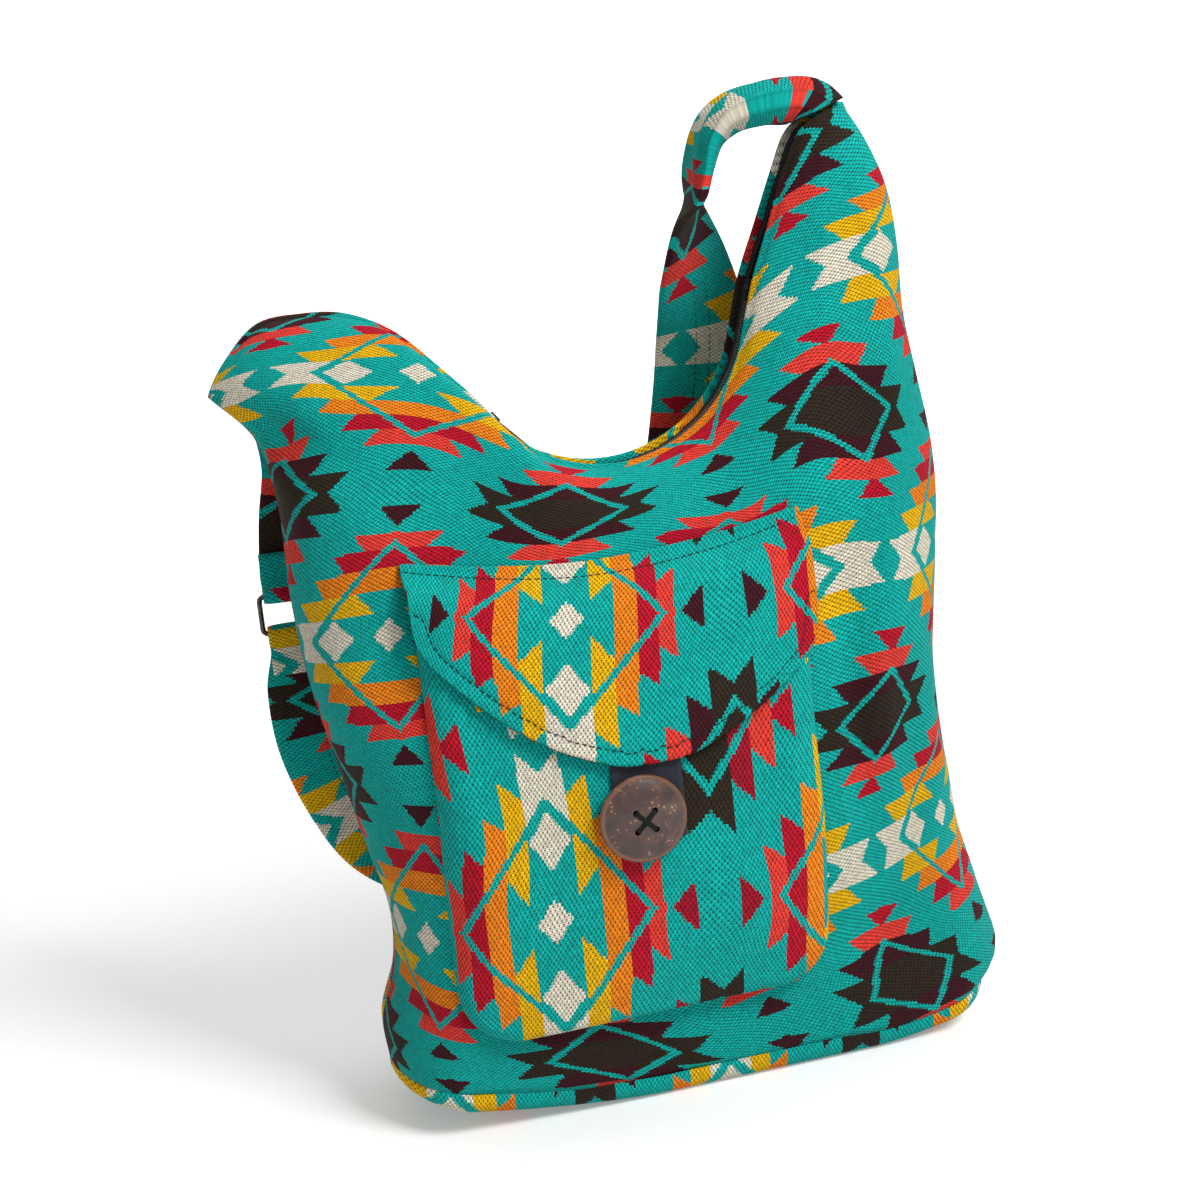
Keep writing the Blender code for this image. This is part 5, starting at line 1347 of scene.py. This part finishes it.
def button_thread(place, mat):
    """Black thread: three strands in each of two crossed stitches, and the wound shank behind the button."""
    h = BUTTON_HOLE_SPREAD * math.sqrt(0.5)
    strands = []
    for turn, (x, y) in enumerate(((h, h), (-h, h))):
        for spread_out in (-1, 0, 1):
            aside = spread_out * STRAND_SPACING / BUTTON_HOLE_SPREAD
            sx, sy = -y * aside, x * aside
            top = button_face(BUTTON_HOLE_SPREAD) + 0.5 * MM
            over = button_face(0) + (0.55 + 0.75 * turn) * MM
            line = ((1, -0.6 * MM), (1, top - 1.2 * MM), (0.75, top), (0, over), (-0.75, top),
                    (-1, top - 1.2 * MM), (-1, -0.6 * MM))
            path = [(x * share + sx, y * share + sy, z) for share, z in line]
            strands.append(tube_points(path, STRAND_RADIUS))
    back = [(3.4 * MM * math.cos(a), 3.4 * MM * math.sin(a), -0.7 * MM)
            for a in np.linspace(0, math.tau * 0.98, 14)]
    strands.append(tube_points(back, STRAND_RADIUS))
    coil = [(1.3 * MM * math.cos(a), 1.3 * MM * math.sin(a), -0.6 * MM - a * 0.07 * MM)
            for a in np.linspace(0, 6 * math.tau, 60)]
    strands.append(tube_points(coil, STRAND_RADIUS))
    pieces = []
    for k, points in enumerate(strands):
        pieces.append(cloth_object(f"strand_{k}", points, None, mat, ring=True))
    deselect()
    for piece in pieces:
        piece.select_set(True)
    bpy.context.view_layer.objects.active = pieces[0]
    bpy.ops.object.join()
    obj = bpy.context.object
    obj.name = "button_stitches"
    obj.data.transform(place)
    bpy.ops.object.mode_set(mode="EDIT")
    bpy.ops.mesh.select_all(action="SELECT")
    bpy.ops.mesh.normals_make_consistent(inside=False)
    bpy.ops.object.mode_set(mode="OBJECT")
    return obj


# Zip

TAPE_TOP = 2.3 * MM
TAPE_THICKNESS = 0.6 * MM
TAPE_INNER_EDGE = 1.0 * MM
TAPE_OUT = 3 * MM
FACING_INNER_EDGE = 2.5 * MM
FACING_TAIL_SAMPLES = 8
COIL_TOP = 0.3 * MM
COIL_WIDTH = 2.6 * MM
COIL_THICKNESS = 1.7 * MM
CHAIN_SLOT = 1.2 * MM
TAPE_LEAD_SAMPLES = 4
HORN_SAMPLES = 10
COIL_LEAD_SAMPLES = 3
COIL_TAIL_SAMPLES = 4
TOOTH_PITCH = 1.5 * MM


def zip_line(first, last):
    """Places along the mouth rim between two of its samples, the ways down into the bag and the half gaps."""
    points = RIM.points[first:last + 1]
    ways = units(np.gradient(points[:, :2], axis=0))
    places = np.stack((points[:, 0], np.zeros(len(points)), points[:, 1]), axis=-1)
    down = np.stack((ways[:, 1], np.zeros(len(points)), -ways[:, 0]), axis=-1)
    return places, down, points[:, 2]


def zip_tape(name, side, first, last, mat, inner=TAPE_INNER_EDGE):
    """Woven tape along one side of the mouth, a little wavy between its ends."""
    places, down, gaps = zip_line(first, last)
    shares = np.linspace(0, 1, 7)
    wave = 0.2 * MM * np.sin(np.arange(len(places)) * 0.7)[:, None] * shares
    y = side * (inner + (gaps[:, None] + TAPE_OUT - inner) * shares)
    points = places[:, None] + down[:, None] * (TAPE_TOP + wave)[..., None]
    points[..., 1] += y
    flat = np.stack((np.broadcast_to(shares * 12 * MM, y.shape),
                     np.broadcast_to(np.arange(len(places))[:, None] * MM, y.shape)), axis=-1)
    obj = cloth_object(name, points, flat, mat, flip=side < 0)
    return thicken(obj, TAPE_THICKNESS)


def tooth():
    """One turn of the zip's coil: a rod with a wider head, one tooth long, across the tape along +Y."""
    deselect()
    rod = 0.5 * MM
    bpy.ops.mesh.primitive_cylinder_add(vertices=8, radius=rod, depth=COIL_WIDTH * 0.75,
                                        rotation=(-math.pi / 2, 0, 0))
    obj = bpy.context.object
    bpy.ops.object.transform_apply(location=True, rotation=True, scale=True)
    obj.data.polygons.foreach_set("select", [p.normal.y < -0.9 for p in obj.data.polygons])
    obj.data.vertices.foreach_set("select", [False] * len(obj.data.vertices))
    obj.data.edges.foreach_set("select", [False] * len(obj.data.edges))
    bpy.ops.object.mode_set(mode="EDIT")
    bpy.ops.mesh.select_mode(type="FACE")
    bpy.ops.mesh.extrude_region_move(TRANSFORM_OT_translate={"value": (0, -0.3 * MM, 0)})
    bpy.ops.transform.resize(value=(1.25, 1, 1.3))
    bpy.ops.mesh.extrude_region_move(TRANSFORM_OT_translate={"value": (0, -0.5 * MM, 0)})
    bpy.ops.mesh.extrude_region_move(TRANSFORM_OT_translate={"value": (0, -0.2 * MM, 0)})
    bpy.ops.transform.resize(value=(0.6, 1, 0.6))
    bpy.ops.object.mode_set(mode="OBJECT")
    verts = [tuple(v.co) for v in obj.data.vertices]
    faces = [tuple(p.vertices) for p in obj.data.polygons]
    bpy.data.objects.remove(obj, do_unlink=True)
    return verts, faces


def zip_teeth(shape, side, mat):
    """The coil along one side: one tooth copied at an even pitch, half a pitch off the other side's."""
    end = ARC_LAST + HORN_SAMPLES
    places, down = zip_line(ARC_FIRST + COIL_LEAD_SAMPLES, end - COIL_TAIL_SAMPLES)[:2]
    lengths = distances(places)
    where = np.arange(TOOTH_PITCH / 2 * (1 if side > 0 else 2), lengths[-1], TOOTH_PITCH)
    frames = []
    middle = CHAIN_SLOT / 2 + COIL_WIDTH * 0.55
    for place, low in zip(read_along(where, lengths, places), read_along(where, lengths, down)):
        across = np.array((0.0, side, 0.0))
        along = np.cross(across, low)
        origin = place + across * middle + low * (COIL_TOP + COIL_THICKNESS / 2)
        frames.append((origin, along, across, low))
    return copies("zip_coil_" + ("back" if side > 0 else "front"), *shape, frames, mat)


# Pieces of the scene

def stage():
    """Pale floor that curves up into a backdrop."""
    mat, tree, shader = new_material("studio_paper_white", 0.9, Specular_IOR_Level=0.0)
    shader.inputs["Base Color"].default_value = linear("F2F2F2")
    seen = seen_directly(tree)
    place = add(tree, "ShaderNodeTexCoord").outputs["Object"]
    away = vector(tree, "LENGTH", place).outputs["Value"]
    pale = remap(tree, away, 0.7, 1.9, 0.25, 1.0, soft=True)
    glow = calc(tree, "MULTIPLY", seen, pale)
    tree.links.new(glow.outputs[0], shader.inputs["Emission Strength"])
    shader.inputs["Emission Color"].default_value = (1, 1, 1, 1)
    profile = [(-3, 0), (1.6, 0)]
    profile += [(1.6 + 0.6 * math.sin(a), 0.6 - 0.6 * math.cos(a))
                for a in np.linspace(0, math.pi / 2, 12)[1:]]
    profile += [(2.2, 3.2)]
    points = np.array([[(x, y, z) for x in (-3.5, 3.5)] for y, z in profile])
    floor = cloth_object("floor", points, None, mat)


def lights():
    """Studio light: a key from the upper right, a weak fill from the left, one above and a pale room."""
    for name, place, size, power in (("key", (1.15, -1.7, 2.3), 1.0, 74), ("fill", (-1.9, -1.4, 0.9), 1.6, 2),
                                     ("top", (0.1, 0.4, 2.3), 1.4, 14)):
        bpy.ops.object.light_add(type="AREA", location=place)
        lamp = bpy.context.object
        lamp.name = name
        lamp.data.size = size
        lamp.data.energy = power
        lamp.rotation_euler = (Vector(place) - Vector((0, 0, 0.25))).to_track_quat("Z", "Y").to_euler()
    world = bpy.data.worlds.new("room")
    bpy.context.scene.world = world
    world.use_nodes = True
    tree = world.node_tree
    seen = seen_directly(tree)
    strength = remap(tree, seen, 0.0, 1.0, 0.25, 1.0)
    background = tree.nodes["Background"]
    background.inputs["Color"].default_value = (1, 1, 1, 1)
    tree.links.new(strength.outputs[0], background.inputs["Strength"])


def camera():
    """Camera at the photograph's viewing angle, with its slight roll."""
    place, right, up, back = camera_axes()
    turn = Matrix((right, up, back)).transposed().to_4x4()
    bpy.ops.object.camera_add()
    cam = bpy.context.object
    cam.matrix_world = Matrix.Translation(place) @ turn
    cam.data.lens = LENS
    cam.data.sensor_width = SENSOR_WIDTH
    bpy.context.scene.camera = cam


def dress(names, mat):
    """Gives CAD nodes that keep their shape a better material."""
    for name in names:
        for slot in bpy.data.objects[name].material_slots:
            slot.material = mat


def attach(pieces):
    """Puts each piece on the bag, in place of its CAD node where it has one."""
    for piece, node, finish in pieces:
        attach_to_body(piece, "bag")
        if node:
            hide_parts(node)


def build():
    """Makes every piece and puts it on the bag."""
    bpy.context.scene.view_settings.view_transform = "Standard"
    camera()
    lights()
    stage()

    cloth = jacquard("woven_jacquard", MAROON)
    pocket_mat = jacquard("woven_jacquard_pocket", POCKET_RED)
    black = plain_weave("lining_cotton_black", "1B1B1E", 0.5 * MM)
    charcoal = plain_weave("tab_cotton_charcoal", "373A44", 0.6 * MM)
    thread = plain_weave("sewing_thread_dark", "12312F", 0.4 * MM, 0.7)
    black_thread = plain_weave("button_thread_black", "101012", 0.4 * MM, 0.7)
    tape = plain_weave("zip_tape_black", "17171A", 0.7 * MM)
    wire = bronze_wire()
    coil = nylon()

    front, back = body_panels(cloth)
    base = base_panel(cloth)
    body = surface_of(front)
    pocket = front_pocket(body, pocket_mat)
    flap, backing, flap_points = pocket_flap(body, cloth, black)
    pocket_surface = surface_of(pocket)
    tab = closure_tab(pocket_surface, charcoal)
    place = button_place()
    shell = button(place, coconut_shell(place.translation))
    stitches = button_thread(place, black_thread)
    long_strap, long_stitching = strap("strap_cloth_long", LONG_STRAP, -1, cloth, thread,
                                       LONG_STRAP_ROWS, LONG_STRAP_SEWN_FROM)
    short_strap, short_stitching = strap("strap_cloth_short", SHORT_STRAP, 1, cloth, thread,
                                         SHORT_STRAP_ROWS, SHORT_STRAP_SEWN_FROM)
    first, last = ARC_FIRST - TAPE_LEAD_SAMPLES, ARC_LAST + HORN_SAMPLES
    halves = (("front", -1), ("back", 1))
    tapes = [zip_tape("zip_tape_" + word, side, first, last, tape) for word, side in halves]
    top = len(RIM.points) - FACING_TAIL_SAMPLES
    facings = [zip_tape("horn_facing_" + word, side, last, top, tape, FACING_INNER_EDGE)
               for word, side in halves]
    shape = tooth()
    coils = [zip_teeth(shape, side, coil) for side in (-1, 1)]

    jacquard_slot, lining_slot = "woven_jacquard_turquoise", "black_lining_cloth"
    attach((
            (front, "front_panel", jacquard_slot), (back, "back_panel", jacquard_slot),
            (base, "base_panel", "woven_jacquard_base"), (pocket, "front_pocket", jacquard_slot),
            (flap, "pocket_flap", jacquard_slot), (backing, "flap_lining", lining_slot),
            (tab, "closure_tab", "charcoal_tab_cloth"), (shell, "button", "coconut_shell"),
            (stitches, "button_thread", "black_thread"), (long_strap, "strap_long", jacquard_slot),
            (short_strap, "strap_short", jacquard_slot), (tapes[0], "zipper_tape_front", lining_slot),
            (tapes[1], "zipper_tape_back", lining_slot), (coils[0], "zipper_coil_front", "black_nylon_coil"),
            (coils[1], "zipper_coil_back", "black_nylon_coil"),
            (facings[0], None, lining_slot), (facings[1], None, lining_slot),
            (flap_stitching(flap_points, thread), None, "black_thread"),
            (long_stitching, None, "black_thread"), (short_stitching, None, "black_thread")))
    dress(("lining", "pocket_lining"), black)
    dress(("strap_ring", "zipper_slider", "zipper_pull", "zipper_stop_left", "zipper_stop_right"), wire)


def plain(box):
    """Both corners of a box as lists."""
    return [list(corner) for corner in box]


build()
